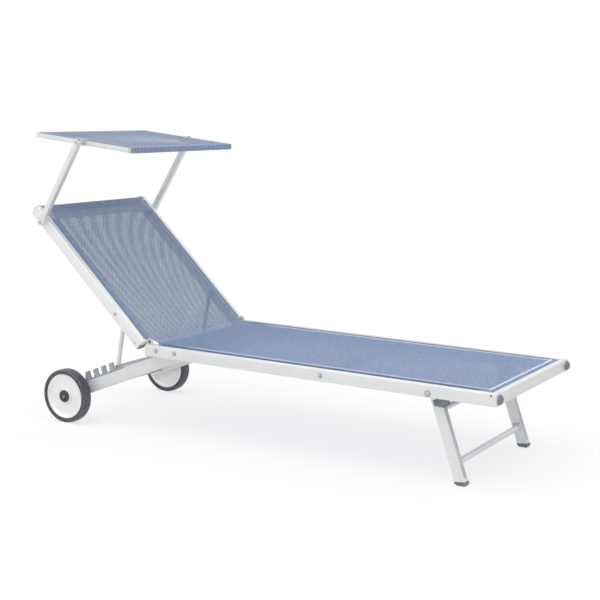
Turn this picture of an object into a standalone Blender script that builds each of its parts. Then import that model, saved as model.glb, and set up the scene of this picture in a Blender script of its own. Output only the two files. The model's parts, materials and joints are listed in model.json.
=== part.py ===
"""Reclining sun lounger: an aluminium bed on folding front legs and two wheels, with a mesh sling,
a backrest held by a prop in toothed racks, and a tilting sunshade.

Metres, +Z up. +X points to the foot end, +Y to the left of someone lying on it.
The origin lies on the floor, under the centre of the footprint.
"""

import math

import bmesh
import bpy
from mathutils import Matrix, Vector

# Overall sizes
WIDTH = 0.6355            # over the side rails
BED_LENGTH = 1.320        # side rails, from the hinge end to the foot end
BED_HEIGHT = 0.3316       # top of the rails above the floor, at the hinge end
BED_PITCH = math.radians(0.78)   # the foot end stands a little lower

# Clearances
FIT = 0.0003              # pieces that touch
SLIDE = 0.0006            # a tongue in a hollow rail
CUT_PAST = 0.010          # how far a cutter, or a piece added to another, reaches past the meeting face

# The frame's aluminium extrusion
RAIL_WIDTH = 0.040
RAIL_HEIGHT = 0.040
RAIL_WALL = 0.0018
RAIL_OUTER_RADIUS = 0.004
RAIL_CORNER_RADIUS = 0.002
HOLLOW_RADIUS = 0.0015
LIP_EDGE_RADIUS = 0.0010
LIP_WIDTH = 0.0200        # flat top outside the sling groove
GROOVE_MOUTH = 0.0032
GROOVE_RADIUS = 0.0034
GROOVE_DEPTH = 0.0088     # from the rail's top to the middle of the round groove
SHELF_DROP = 0.0050       # the shelf inside the groove, below the lip
BEAD_DROP = 0.0012        # the bead along the inner edge, below the lip
BEAD_RADIUS = 0.0016
HOLLOW_DROP = 0.0150      # top of the hollow, below the lip

# The sling
SLING_THICKNESS = 0.0015
SLING_HINGE_GAP = 0.006   # between the bed's part and the backrest's part
SLING_CUTAWAY = 0.055     # length left out of the groove beside each hinge

# The backrest and its hinge
BACK_LENGTH = 0.663       # side rails
BACK_END_GAP = 0.0104     # from the pivot to the rail's lower end
RECLINE = math.radians(43.0)     # steepest position, above the bed
HINGE_RISE = 0.0075       # the pivot above the rails' top
HINGE_RADIUS = 0.0105
HINGE_PIN_RADIUS = 0.0035
HINGE_HEAD_RADIUS = 0.0060
HINGE_HEAD_HEIGHT = 0.0030
HINGE_OUTER = 0.0242      # outer face of the ears, in from the rail's outer face
EAR_THICKNESS = 0.0060
TONGUE_LENGTH = 0.060
FLANGE = 0.0025           # of a moulded insert, over the rail's end
SOCKET_BACK = 2 / 3       # the socket's ear behind the pivot, as a share of its radius
SOCKET_EAR_FOOT = 0.034   # below the rails' top
FORK_EAR_FOOT = 0.030     # below the pivot
FORK_NECK = 0.0044        # the fork's ear where it leaves the rail's end
FORK_SHOULDER = 0.0015    # the neck's top, below the rail's top

# Crossbar between the bed rails
CROSSBAR_X = 0.711
CROSSBAR_DROP = 0.021     # its axis below the rails' top
CROSSBAR_RADIUS = 0.011
TUBE_WALL = 0.0015

# Wheels, axle and arms
WHEEL_RADIUS = 0.100
WHEEL_WIDTH = 0.0405
WHEEL_GAP = 0.00675       # between the arm and the tyre's inner face
TYRE_SHOULDER = 0.009
AXLE_X = -0.3813
AXLE_RADIUS = 0.008
AXLE_END = 0.0010         # the axle stops this far inside the hub's face
DISC_RADIUS = 0.0832
DISC_LIP = 0.0090         # from the disc's edge in to the dish
DISC_SLOPE = 0.0120       # how far the dish's sloping side runs in
DISC_EDGE = 0.0030        # the disc's edge, in from the tyre's faces
DISC_BACK = 0.0110        # the dish's two faces, from the tyre's inner face
DISC_FRONT = 0.0215
HUB_RADIUS = 0.0190       # on the side of the arm
HUB_OUTER_RADIUS = 0.0270
HUB_FACE = 0.0300         # the hub's outer face, from the tyre's inner face
HUB_CAP_RADIUS = 0.0250
HUB_CAP_HEIGHT = 0.0095
HUB_CAP_SHAPE = ((0.32, 0.98), (0.58, 0.80), (0.68, 0.44), (0.90, 0.40))   # shares of height, radius
HUB_CAP_TOP = 0.28        # share of the radius
ARM_ANGLE = math.radians(21.4)
ARM_HEIGHT = 0.047
ARM_THICKNESS = 0.022
ARM_WALL = 0.002
ARM_RADIUS = 0.003
ARM_TAIL = 0.056          # past the axle
ARM_REACH = 0.150         # how far the arm runs along the bed rail
ARM_TOP_CUT = 0.012       # below the top of the rails
ARM_OVER_AXLE = 0.0042    # the arm's centre line above the axle
CAP_THICKNESS = 0.004
CAP_TONGUE = 0.018

# Racks
RACK_BASE = 0.0030
RACK_WEB = 0.0080
RACK_HEIGHT = 0.0325
RACK_FIRST = 0.1015       # middle of the first tooth, along the arm from the axle
RACK_PITCH = 0.0400
RACK_TEETH = 4
RACK_TOOTH = 0.0190
RACK_HEEL = 0.0100        # from the first tooth to the rack's end
RACK_TAIL = 0.0220        # from the last notch to the rack's other end
RACK_INSET = 0.0015       # the base plate's edges, in from the arm's faces
TOOTH_SLOPE = 0.0045
TOOTH_HOOK = 0.0018       # the nose that overhangs the notch
TOOTH_NOSE = 0.0040       # the nose below the tooth's top
TOOTH_UNDERCUT = 0.0110   # the notch's straight side, below the tooth's top

# Prop
PROP_RADIUS = 0.008
PROP_WALL = 0.0012
PROP_PIVOT_ALONG = 0.160  # along the backrest from the hinge
PROP_TOP = 0.011          # the prop's legs past the rivet
RIVET_RADIUS = 0.0040
RIVET_HEAD = 0.0065
RIVET_HEIGHT = 0.0025
RIVET_BUSH = 0.0068
RIVET_END = 0.0020        # past the prop's leg

# Front legs
LEG_PIVOT_BACK = 0.225    # from the foot end
LEG_PIVOT_DROP = 0.0276   # below the rails' top
LEG_LEAN = math.radians(18.93)
LEG_WIDTH = 0.035
LEG_THICKNESS = 0.0235
LEG_WALL = 0.002
LEG_BOLT_RADIUS = 0.0045
LEG_BOLT_HEAD = 0.0080
LEG_BOLT_HEIGHT = 0.0035
LEG_BOLT_BUSH = 0.0075
LEG_BOLT_END = 0.0015     # past the leg
LEG_GAP = 0.0023          # between the rail and the leg
LEG_SOLID = 0.030         # the leg's closed top, below the pivot
LEG_END = 0.009           # the leg's cut end, above the floor
LEG_TUBE_RADIUS = 0.008
LEG_UPPER_TUBE = 0.048    # down the leg from the pivot
LEG_LOWER_TUBE = 0.235
FOOT_HEIGHT = 0.034
FOOT_SKIN = 0.0014
FOOT_SLANT = 0.004        # of the boot's top edge
FOOT_BEVEL = 0.006
KNUCKLE_SKIN = 0.0016
KNUCKLE_FROM = 0.027      # below the pivot
KNUCKLE_TO = 0.051
KNUCKLE_SLANT = 0.006     # of its lower edge
STOP_START = 0.020        # the stop's near end along the rail, from the pivot
STOP_SLANT = 0.010
STOP_DEPTH = 0.0285
STOP_REACH = 0.057        # the stop's far end
STOP_OUT = 0.0230         # how far the stop lies under the rail

# Sunshade
SHADE_PIVOT_BACK = 0.0604 # from the backrest rails' upper end
SHADE_ARM_LENGTH = 0.344
SHADE_ARM_ANGLE = math.radians(57.7)   # above the floor
SHADE_ARM_WIDTH = 0.021
SHADE_ARM_THICKNESS = 0.015
SHADE_WALL = 0.0015       # of the arms and the canopy's side tubes
SHADE_ARM_RADIUS = 0.002
SHADE_ARM_GAP = 0.0009    # outside the backrest rail
SHADE_END = 0.030         # moulded lower end, above the pivot
SHADE_TONGUE = 0.020      # the lower end's tongue in the arm
SHADE_END_SKIN = 0.0012   # the rounded end, past the arm's width
SHADE_BOLT_RADIUS = 0.003
SHADE_BOLT_HEAD = 0.0060
SHADE_BOLT_HEIGHT = 0.0025
SHADE_BOLT_BUSH = 0.0075
SHADE_BOLT_GRIP = 0.012   # into the backrest rail
CANOPY_INSET = 0.0125     # its outer faces, in from those of the rails
CANOPY_FRONT = 0.2218     # from the pivots to the front
CANOPY_LENGTH = 0.4412
CANOPY_RISE = math.radians(6.48)
CANOPY_TUBE = 0.0185
CANOPY_TUBE_WIDTH = 0.015
CANOPY_TUBE_RADIUS = 0.003
CANOPY_BAR_RADIUS = 0.008
CANOPY_BUSH = 0.0085
CANOPY_PIN_GRIP = 0.004   # into the side tube
CANOPY_LAP = 0.006        # the hem under the cloth
CANOPY_CLOTH = 0.0016

PIN_RIM = 0.35            # straight edge of a pin's head, as a share of its height

# Plugs
PLUG_DOME = 0.009
PLUG_FLANGE = 0.002
PLUG_FLANGE_RADIUS = 0.0180
PLUG_TONGUE = 0.020

# Sizes that follow from others
LEG_PIVOT_X = BED_LENGTH - LEG_PIVOT_BACK
SHADE_PIVOT_ALONG = BACK_END_GAP + BACK_LENGTH - SHADE_PIVOT_BACK   # from the hinge
WHEEL_INNER = WIDTH / 2 - RAIL_WIDTH + WHEEL_GAP   # inner face of the tyre, from the middle plane
LEG_Y = WIDTH / 2 - RAIL_WIDTH - LEG_GAP - LEG_THICKNESS / 2
PROP_LEG_Y = WIDTH / 2 - RAIL_WIDTH - FIT - RACK_WEB - SLIDE - PROP_RADIUS
NOTCH = (RACK_PITCH - RACK_TOOTH) / 2   # radius of a notch
LAST_NOTCH = RACK_FIRST + (RACK_TEETH - 0.5) * RACK_PITCH

SEGMENTS = 24
WHEEL_SEGMENTS = 40
TUBE_SEGMENTS = 16
PIN_SEGMENTS = 12
SIDES = {"left": 1, "right": -1}


# ---------------------------------------------------------------- materials

def material(name, colour, roughness, metallic):
    made = bpy.data.materials.new(name)
    made.use_nodes = True
    shader = made.node_tree.nodes["Principled BSDF"]
    shader.inputs["Base Color"].default_value = (*colour, 1.0)
    shader.inputs["Roughness"].default_value = roughness
    shader.inputs["Metallic"].default_value = metallic
    made.diffuse_color = (*colour, 1.0)
    return made


# ---------------------------------------------------------------- outlines

def arc(centre, radius, start, end, steps):
    """Points on a circle from one angle in degrees to another, both ends included."""
    points = []
    for step in range(steps + 1):
        angle = math.radians(start + (end - start) * step / steps)
        points.append((centre[0] + radius * math.cos(angle), centre[1] + radius * math.sin(angle)))
    return points


def rounded_rectangle(low, high, radius, steps=3):
    (x0, y0), (x1, y1) = low, high
    return (
        arc((x1 - radius, y0 + radius), radius, -90, 0, steps)
        + arc((x1 - radius, y1 - radius), radius, 0, 90, steps)
        + arc((x0 + radius, y1 - radius), radius, 90, 180, steps)
        + arc((x0 + radius, y0 + radius), radius, 180, 270, steps)
    )


def rail_outline():
    """The extrusion's section: u runs in from the outer face, z up to the lip's top at 0."""
    groove = (LIP_WIDTH + GROOVE_MOUTH / 2, -GROOVE_DEPTH)
    mouth = math.degrees(math.asin(GROOVE_MOUTH / 2 / GROOVE_RADIUS))
    small = RAIL_CORNER_RADIUS
    bead = BEAD_RADIUS
    points = arc((small, -RAIL_HEIGHT + small), small, 270, 180, 3)
    points += arc((RAIL_OUTER_RADIUS, -RAIL_OUTER_RADIUS), RAIL_OUTER_RADIUS, 180, 90, 5)
    points += arc((LIP_WIDTH - LIP_EDGE_RADIUS, -LIP_EDGE_RADIUS), LIP_EDGE_RADIUS, 90, 0, 2)
    points += arc(groove, GROOVE_RADIUS, 90 + mouth, 450 - mouth, 14)
    points.append((LIP_WIDTH + GROOVE_MOUTH, -SHELF_DROP))
    points += arc((RAIL_WIDTH - bead, -BEAD_DROP - bead), bead, 115, 0, 4)
    points += arc((RAIL_WIDTH - small, -RAIL_HEIGHT + small), small, 0, -90, 3)
    return points


def rail_hollow(clearance=0.0):
    """The room inside the extrusion, below the groove."""
    wall = RAIL_WALL + clearance
    low = (wall, -RAIL_HEIGHT + wall)
    high = (RAIL_WIDTH - wall, -HOLLOW_DROP - clearance)
    return rounded_rectangle(low, high, HOLLOW_RADIUS, 2)


# ---------------------------------------------------------------- solids

def loop_edges(mesh, points, place):
    """A closed ring of edges through the outline's points."""
    corners = [mesh.verts.new(place(*point)) for point in points]
    return [mesh.edges.new((corners[i - 1], corners[i])) for i in range(len(corners))]


def prism(mesh, outline, place, direction, holes=()):
    """Adds the outline, with any holes in it, swept along a direction."""
    edges = []
    for ring in (outline, *holes):
        edges += loop_edges(mesh, ring, place)
    if holes:
        filled = bmesh.ops.triangle_fill(mesh, use_beauty=True, edges=edges)
        faces = [item for item in filled["geom"] if isinstance(item, bmesh.types.BMFace)]
    else:
        faces = bmesh.ops.contextual_create(mesh, geom=edges)["faces"]
    swept = bmesh.ops.extrude_face_region(mesh, geom=faces, use_keep_orig=True)
    moved = [item for item in swept["geom"] if isinstance(item, bmesh.types.BMVert)]
    bmesh.ops.translate(mesh, verts=moved, vec=direction)


def revolve(mesh, profile, centre, axis, segments=SEGMENTS):
    """Adds the profile of (distance along the axis, radius) turned about the axis."""
    axis = Vector(axis).normalized()
    side = axis.orthogonal().normalized()
    points = [mesh.verts.new(Vector(centre) + axis * along + side * radius) for along, radius in profile]
    edges = [mesh.edges.new((points[i - 1], points[i])) for i in range(1, len(points))]
    if profile[0][1] > 1e-6:
        edges.append(mesh.edges.new((points[-1], points[0])))
    bmesh.ops.spin(
        mesh, geom=points + edges, cent=centre, axis=axis, angle=math.tau, steps=segments,
        use_merge=True,
    )
    bmesh.ops.remove_doubles(mesh, verts=mesh.verts[:], dist=1e-6)


def finished(name, mesh, finish, parent, smooth=30.0):
    """Closes a mesh into an object of its own under its parent."""
    bmesh.ops.recalc_face_normals(mesh, faces=mesh.faces[:])
    data = bpy.data.meshes.new(name)
    mesh.to_mesh(data)
    mesh.free()
    data.shade_smooth()
    data.set_sharp_from_angle(angle=math.radians(smooth))
    made = bpy.data.objects.new(name, data)
    made.data.materials.append(finish)
    bpy.context.scene.collection.objects.link(made)
    made.parent = parent
    return made


def cylinder_tool(name, start, end, radius, parent, segments=TUBE_SEGMENTS):
    """A hidden round cutter from one point to another, in the parent's frame."""
    start, end = Vector(start), Vector(end)
    mesh = bmesh.new()
    length = (end - start).length
    profile = [(0, 0), (0, radius), (length, radius), (length, 0)]
    revolve(mesh, profile, start, end - start, segments)
    tool = finished(name, mesh, TOOL, parent)
    tool.hide_render = True
    tool.display_type = "WIRE"
    return tool


def prism_tool(name, outline, place, direction, parent):
    mesh = bmesh.new()
    prism(mesh, outline, place, direction)
    tool = finished(name, mesh, TOOL, parent)
    tool.hide_render = True
    tool.display_type = "WIRE"
    return tool


def cut(target, tool):
    modifier = target.modifiers.new(tool.name, "BOOLEAN")
    modifier.operation = "DIFFERENCE"
    modifier.solver = "EXACT"
    modifier.object = tool


def empty(name, parent, location=(0, 0, 0), angle=0.0):
    """A frame of axes, turned about Y."""
    made = bpy.data.objects.new(name, None)
    made.empty_display_size = 0.05
    made.location = location
    made.rotation_euler = (0, angle, 0)
    made.parent = parent
    bpy.context.scene.collection.objects.link(made)
    return made


def tube(name, start, end, radius, wall, finish, parent, segments=TUBE_SEGMENTS):
    """A round tube, open at both ends, or a solid bar where the wall is 0."""
    start, end = Vector(start), Vector(end)
    length = (end - start).length
    mesh = bmesh.new()
    if wall > 0:
        profile = [(0, radius - wall), (0, radius), (length, radius), (length, radius - wall)]
    else:
        profile = [(0, 0), (0, radius), (length, radius), (length, 0)]
    revolve(mesh, profile, start, end - start, segments)
    return finished(name, mesh, finish, parent)


# ---------------------------------------------------------------- rails

def rail(name, start_x, end_x, side, finish, parent, top=0.0):
    """A side rail along X, its outer face at half the width."""
    mesh = bmesh.new()
    outer = side * WIDTH / 2
    prism(
        mesh, rail_outline(),
        lambda u, z: (start_x, outer - side * u, top + z),
        (end_x - start_x, 0, 0), [rail_hollow()],
    )
    return finished(name, mesh, finish, parent)


def cross_rail(name, end_x, toward, finish, parent, top=0.0):
    """The same extrusion between the side rails, its outer face at end_x.

    A corner block at each end carries its lip on over the side rail's shelf.
    """
    mesh = bmesh.new()
    half = WIDTH / 2 - RAIL_WIDTH - FIT
    prism(
        mesh, rail_outline(),
        lambda u, z: (end_x - toward * u, -half, top + z),
        (0, 2 * half, 0), [rail_hollow()],
    )
    beam = finished(name, mesh, finish, parent)
    low = -SHELF_DROP + 2 * FIT
    over = -BEAD_DROP + FIT
    block = [
        (LIP_WIDTH + FIT, 0), (LIP_WIDTH + FIT, low), (LIP_WIDTH + GROOVE_MOUTH, low),
        (RAIL_WIDTH - 1.5 * BEAD_RADIUS, over), (RAIL_WIDTH + CUT_PAST, over), (RAIL_WIDTH + CUT_PAST, 0),
    ]
    near = end_x - toward * (LIP_WIDTH - LIP_EDGE_RADIUS)
    reach = toward * (LIP_WIDTH - LIP_EDGE_RADIUS - RAIL_OUTER_RADIUS)
    for word, side in SIDES.items():
        outer = side * WIDTH / 2
        prism_part(
            f"{name}_corner_{word}", block, lambda u, z: (near, outer - side * u, top + z),
            (reach, 0, 0), finish, parent, add_to=beam,
        )
    return beam


def domed_plug(name, end_x, toward, side, finish, parent, top=0.0):
    """A round domed plug in a rail's open end, with its tongue in the hollow."""
    mesh = bmesh.new()
    outer = side * WIDTH / 2
    start = end_x - toward * PLUG_TONGUE
    prism(
        mesh, rail_hollow(SLIDE),
        lambda u, z: (start, outer - side * u, top + z),
        (toward * (PLUG_TONGUE + 2 * FIT), 0, 0),
    )
    plug = finished(name, mesh, finish, parent)
    mesh = bmesh.new()
    crown = [
        (PLUG_FLANGE + PLUG_DOME * y, PLUG_FLANGE_RADIUS * x) for x, y in arc((0, 0), 1, 0, 90, 3)[:-1]
    ]
    profile = [(0, 0), (0, PLUG_FLANGE_RADIUS)] + crown + [(PLUG_FLANGE + PLUG_DOME, 0)]
    middle = (end_x + toward * FIT, outer - side * RAIL_WIDTH / 2, top - RAIL_HEIGHT / 2)
    revolve(mesh, profile, middle, (toward, 0, 0), SEGMENTS)
    head = finished(name + "_head", mesh, finish, parent)
    head.hide_render = True
    head.display_type = "WIRE"
    join = plug.modifiers.new("dome", "BOOLEAN")
    join.operation = "UNION"
    join.solver = "EXACT"
    join.object = head
    return plug


def pin(name, face, direction, head, shank, collar, finish, parent):
    """A domed head on a face, its shank behind it, and a wider bush part of the way along.

    head and shank are (radius, length); collar is (radius, start, end) behind the face, or None.
    """
    mesh = bmesh.new()
    crown = arc((0, 0), 1, 0, 90, 3)
    profile = [(-shank[1], 0), (-shank[1], shank[0])]
    if collar:
        radius, near, far = collar
        profile += [(-far, shank[0]), (-far, radius), (-near, radius), (-near, shank[0])]
    profile += [(0, shank[0]), (0, head[0])]
    profile += [(head[1] * (PIN_RIM + (1 - PIN_RIM) * y), head[0] * x) for x, y in crown[:-1]]
    profile.append((head[1], 0))
    revolve(mesh, profile, face, direction, PIN_SEGMENTS)
    return finished(name, mesh, finish, parent)


def prism_part(name, outline, place, direction, finish, parent, holes=(), add_to=None):
    """A swept outline as an object, or as a piece that a union adds to another object."""
    mesh = bmesh.new()
    prism(mesh, outline, place, direction, holes)
    made = finished(name, mesh, finish, parent)
    if add_to:
        made.hide_render = True
        made.display_type = "WIRE"
        join = add_to.modifiers.new(name, "BOOLEAN")
        join.operation = "UNION"
        join.solver = "EXACT"
        join.object = made
    return made


def across(side, low, high):
    """The start and the length of a stretch along Y, given as distances from the middle plane."""
    return side * low, (0, side * (high - low), 0)


# ---------------------------------------------------------------- bed

def make_bed(bed):
    inner = WIDTH / 2 - RAIL_WIDTH
    for word, side in SIDES.items():
        beam = rail(f"side_rail_{word}", 0, BED_LENGTH, side, ALUMINIUM, bed)
        outer = side * (WIDTH / 2 + CUT_PAST)
        hole = cylinder_tool(
            f"leg_bolt_hole_{word}", (LEG_PIVOT_X, outer, -LEG_PIVOT_DROP),
            (LEG_PIVOT_X, side * (inner - CUT_PAST), -LEG_PIVOT_DROP), LEG_BOLT_RADIUS + FIT, bed,
        )
        cut(beam, hole)
        domed_plug(f"foot_plug_{word}", BED_LENGTH, 1, side, GREY_PLASTIC, bed)
        pin(
            f"leg_bolt_{word}", (LEG_PIVOT_X, side * (WIDTH / 2 + FIT), -LEG_PIVOT_DROP), (0, side, 0),
            (LEG_BOLT_HEAD, LEG_BOLT_HEIGHT),
            (LEG_BOLT_RADIUS, RAIL_WIDTH + LEG_GAP + LEG_THICKNESS + LEG_BOLT_END),
            (LEG_BOLT_BUSH, RAIL_WIDTH + 2 * FIT, RAIL_WIDTH + LEG_GAP), STEEL, bed,
        )
        hinge_socket(word, side, bed)
    cross_rail("foot_rail", BED_LENGTH, 1, ALUMINIUM, bed)
    span = inner - FIT
    tube(
        "crossbar", (CROSSBAR_X, -span, -CROSSBAR_DROP), (CROSSBAR_X, span, -CROSSBAR_DROP),
        CROSSBAR_RADIUS, TUBE_WALL, ALUMINIUM, bed,
    )
    sling("bed_sling", SLING_HINGE_GAP / 2, SLING_CUTAWAY, BED_LENGTH, 0.0, 1, bed)


def hinge_socket(word, side, bed):
    """The insert in the bed rail's end, with the ear that carries the hinge pin above the rail."""
    outer = side * WIDTH / 2
    socket = prism_part(
        f"hinge_socket_{word}", rail_hollow(SLIDE),
        lambda u, z: (-FLANGE / 2, outer - side * u, z), (TONGUE_LENGTH, 0, 0), GREY_METAL, bed,
    )
    flange = rounded_rectangle((0, -RAIL_HEIGHT), (RAIL_WIDTH, -GROOVE_DEPTH), RAIL_CORNER_RADIUS)
    prism_part(
        f"socket_flange_{word}", flange,
        lambda u, z: (-FIT - FLANGE, outer - side * u, z), (FLANGE, 0, 0), GREY_METAL, bed,
        add_to=socket,
    )
    left = -HINGE_RADIUS * SOCKET_BACK
    low = math.degrees(math.asin((HINGE_RISE - 2 * FIT) / HINGE_RADIUS))
    turn = 180 + math.degrees(math.acos(-left / HINGE_RADIUS))
    ear = arc((0, HINGE_RISE), HINGE_RADIUS, turn, -low, 14)
    ear += [(-FIT, 2 * FIT), (-FIT, -SOCKET_EAR_FOOT), (left, -SOCKET_EAR_FOOT)]
    start = WIDTH / 2 - HINGE_OUTER
    y, sweep = across(side, start - EAR_THICKNESS, start)
    prism_part(
        f"socket_ear_{word}", ear, lambda x, z: (x, y, z), sweep, GREY_METAL, bed, add_to=socket,
    )
    through = cylinder_tool(
        f"socket_hole_{word}", (0, side * (start + CUT_PAST), HINGE_RISE),
        (0, side * (start - EAR_THICKNESS - CUT_PAST), HINGE_RISE), HINGE_PIN_RADIUS + FIT, bed,
    )
    cut(socket, through)
    pin(
        f"hinge_pin_{word}", (0, side * (start + FIT), HINGE_RISE), (0, side, 0),
        (HINGE_HEAD_RADIUS, HINGE_HEAD_HEIGHT), (HINGE_PIN_RADIUS, 2 * EAR_THICKNESS + FLANGE), None,
        STEEL, bed,
    )


def hinge_fork(word, side, back):
    """The insert in the backrest rail's lower end, with an ear beside the socket's."""
    outer = side * WIDTH / 2
    top = -HINGE_RISE
    end = -BACK_END_GAP
    fork = prism_part(
        f"hinge_fork_{word}", rail_hollow(SLIDE),
        lambda u, z: (end + FLANGE / 2, outer - side * u, top + z), (-TONGUE_LENGTH, 0, 0),
        DARK_PLASTIC, back,
    )
    flange = rounded_rectangle((0, -RAIL_HEIGHT), (RAIL_WIDTH, 0), RAIL_CORNER_RADIUS)
    prism_part(
        f"fork_flange_{word}", flange,
        lambda u, z: (end + FIT, outer - side * u, top + z), (FLANGE - 2 * FIT, 0, 0),
        DARK_PLASTIC, back, add_to=fork,
    )
    radius = HINGE_RISE - 2 * FIT
    ear = arc((0, 0), radius, 100, -130, 14)
    left = end + 2 * FIT
    right = end + FORK_NECK
    ear += [(right, top - FORK_SHOULDER), (right, -FORK_EAR_FOOT), (left, -FORK_EAR_FOOT), (left, 0)]
    start = WIDTH / 2 - HINGE_OUTER - EAR_THICKNESS - FIT
    y, sweep = across(side, start - EAR_THICKNESS, start)
    prism_part(
        f"fork_ear_{word}", ear, lambda x, z: (x, y, z), sweep, DARK_PLASTIC, back, add_to=fork,
    )
    through = cylinder_tool(
        f"fork_hole_{word}", (0, side * (start + CUT_PAST), 0),
        (0, side * (start - EAR_THICKNESS - CUT_PAST), 0),
        HINGE_PIN_RADIUS + FIT, back,
    )
    cut(fork, through)


def edge_section():
    """Half of the sling's section, from the rod in the groove to the bead: (upper, lower) points."""
    middle = LIP_WIDTH + GROOVE_MOUTH / 2
    half = SLING_THICKNESS / 2
    rod = GROOVE_RADIUS - FIT
    opening = math.degrees(math.asin(half / rod))
    ring = arc((middle, -GROOVE_DEPTH), rod, 90 + opening, 450 - opening, 12)
    low = -BEAD_DROP + FIT
    high = low + SLING_THICKNESS
    upper = [(RAIL_WIDTH - BEAD_RADIUS / 2, high), (middle - half, -SHELF_DROP + SLING_THICKNESS)]
    lower = [(middle + half, -SHELF_DROP + half), (RAIL_WIDTH - BEAD_RADIUS * 1.5, low)]
    return upper + ring + lower


def sling(name, start, cutaway, end, top, toward, parent):
    """The mesh held in the side grooves and over the end rail, flat between the beads."""
    half = WIDTH / 2
    one = edge_section()
    other = [(WIDTH - u, z) for u, z in reversed(one)]
    body = prism_part(
        name, one + other,
        lambda u, z: (toward * cutaway, half - u, top + z),
        (toward * (end - RAIL_WIDTH - cutaway), 0, 0), MESH_FABRIC, parent,
    )
    low = -BEAD_DROP + FIT
    inner = half - RAIL_WIDTH - RAIL_CORNER_RADIUS
    flat = [(-inner, low), (inner, low), (inner, low + SLING_THICKNESS), (-inner, low + SLING_THICKNESS)]
    prism_part(
        name + "_hinge_end", flat, lambda y, z: (toward * start, y, top + z),
        (toward * (cutaway + CUT_PAST - start), 0, 0), MESH_FABRIC, parent, add_to=body,
    )
    tail = one + [(RAIL_WIDTH + CUT_PAST, low), (RAIL_WIDTH + CUT_PAST, low + SLING_THICKNESS)]
    prism_part(
        name + "_end_hem", tail, lambda u, z: (toward * (end - u), -inner, top + z),
        (0, 2 * inner, 0), MESH_FABRIC, parent, add_to=body,
    )


# ---------------------------------------------------------------- backrest

def make_backrest(back):
    top = -HINGE_RISE
    far = BACK_END_GAP + BACK_LENGTH
    middle = top - RAIL_HEIGHT / 2
    inner = WIDTH / 2 - RAIL_WIDTH
    for word, side in SIDES.items():
        outer = side * (WIDTH / 2 + CUT_PAST)
        beam = rail(f"back_rail_{word}", -BACK_END_GAP, -far, side, ALUMINIUM, back, top)
        hole = cylinder_tool(
            f"rivet_hole_{word}", (-PROP_PIVOT_ALONG, outer, middle),
            (-PROP_PIVOT_ALONG, side * (inner - CUT_PAST), middle), RIVET_RADIUS + FIT, back,
        )
        cut(beam, hole)
        hole = cylinder_tool(
            f"shade_bolt_hole_{word}", (-SHADE_PIVOT_ALONG, outer, middle),
            (-SHADE_PIVOT_ALONG, side * (WIDTH / 2 - SHADE_BOLT_GRIP - CUT_PAST), middle),
            SHADE_BOLT_RADIUS + FIT, back,
        )
        cut(beam, hole)
        domed_plug(f"head_plug_{word}", -far, -1, side, GREY_PLASTIC, back, top)
        hinge_fork(word, side, back)
        pin(
            f"prop_rivet_{word}", (-PROP_PIVOT_ALONG, side * (WIDTH / 2 + FIT), middle), (0, side, 0),
            (RIVET_HEAD, RIVET_HEIGHT), (RIVET_RADIUS, WIDTH / 2 - PROP_LEG_Y + PROP_RADIUS + RIVET_END),
            (RIVET_BUSH, RAIL_WIDTH + 2 * FIT, WIDTH / 2 - PROP_LEG_Y - PROP_RADIUS), STEEL, back,
        )
        arm_face = SHADE_ARM_GAP + SHADE_ARM_THICKNESS
        pin(
            f"shade_bolt_{word}", (-SHADE_PIVOT_ALONG, side * (WIDTH / 2 + arm_face + FIT), middle),
            (0, side, 0), (SHADE_BOLT_HEAD, SHADE_BOLT_HEIGHT),
            (SHADE_BOLT_RADIUS, arm_face + SHADE_BOLT_GRIP),
            (SHADE_BOLT_BUSH, arm_face - SHADE_ARM_GAP + 2 * FIT, arm_face), STEEL, back,
        )
    cross_rail("head_rail", -far, -1, ALUMINIUM, back, top)
    sling("back_sling", SLING_HINGE_GAP / 2, SLING_CUTAWAY, far, top, -1, back)


# ---------------------------------------------------------------- wheel arms, racks, axle

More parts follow.
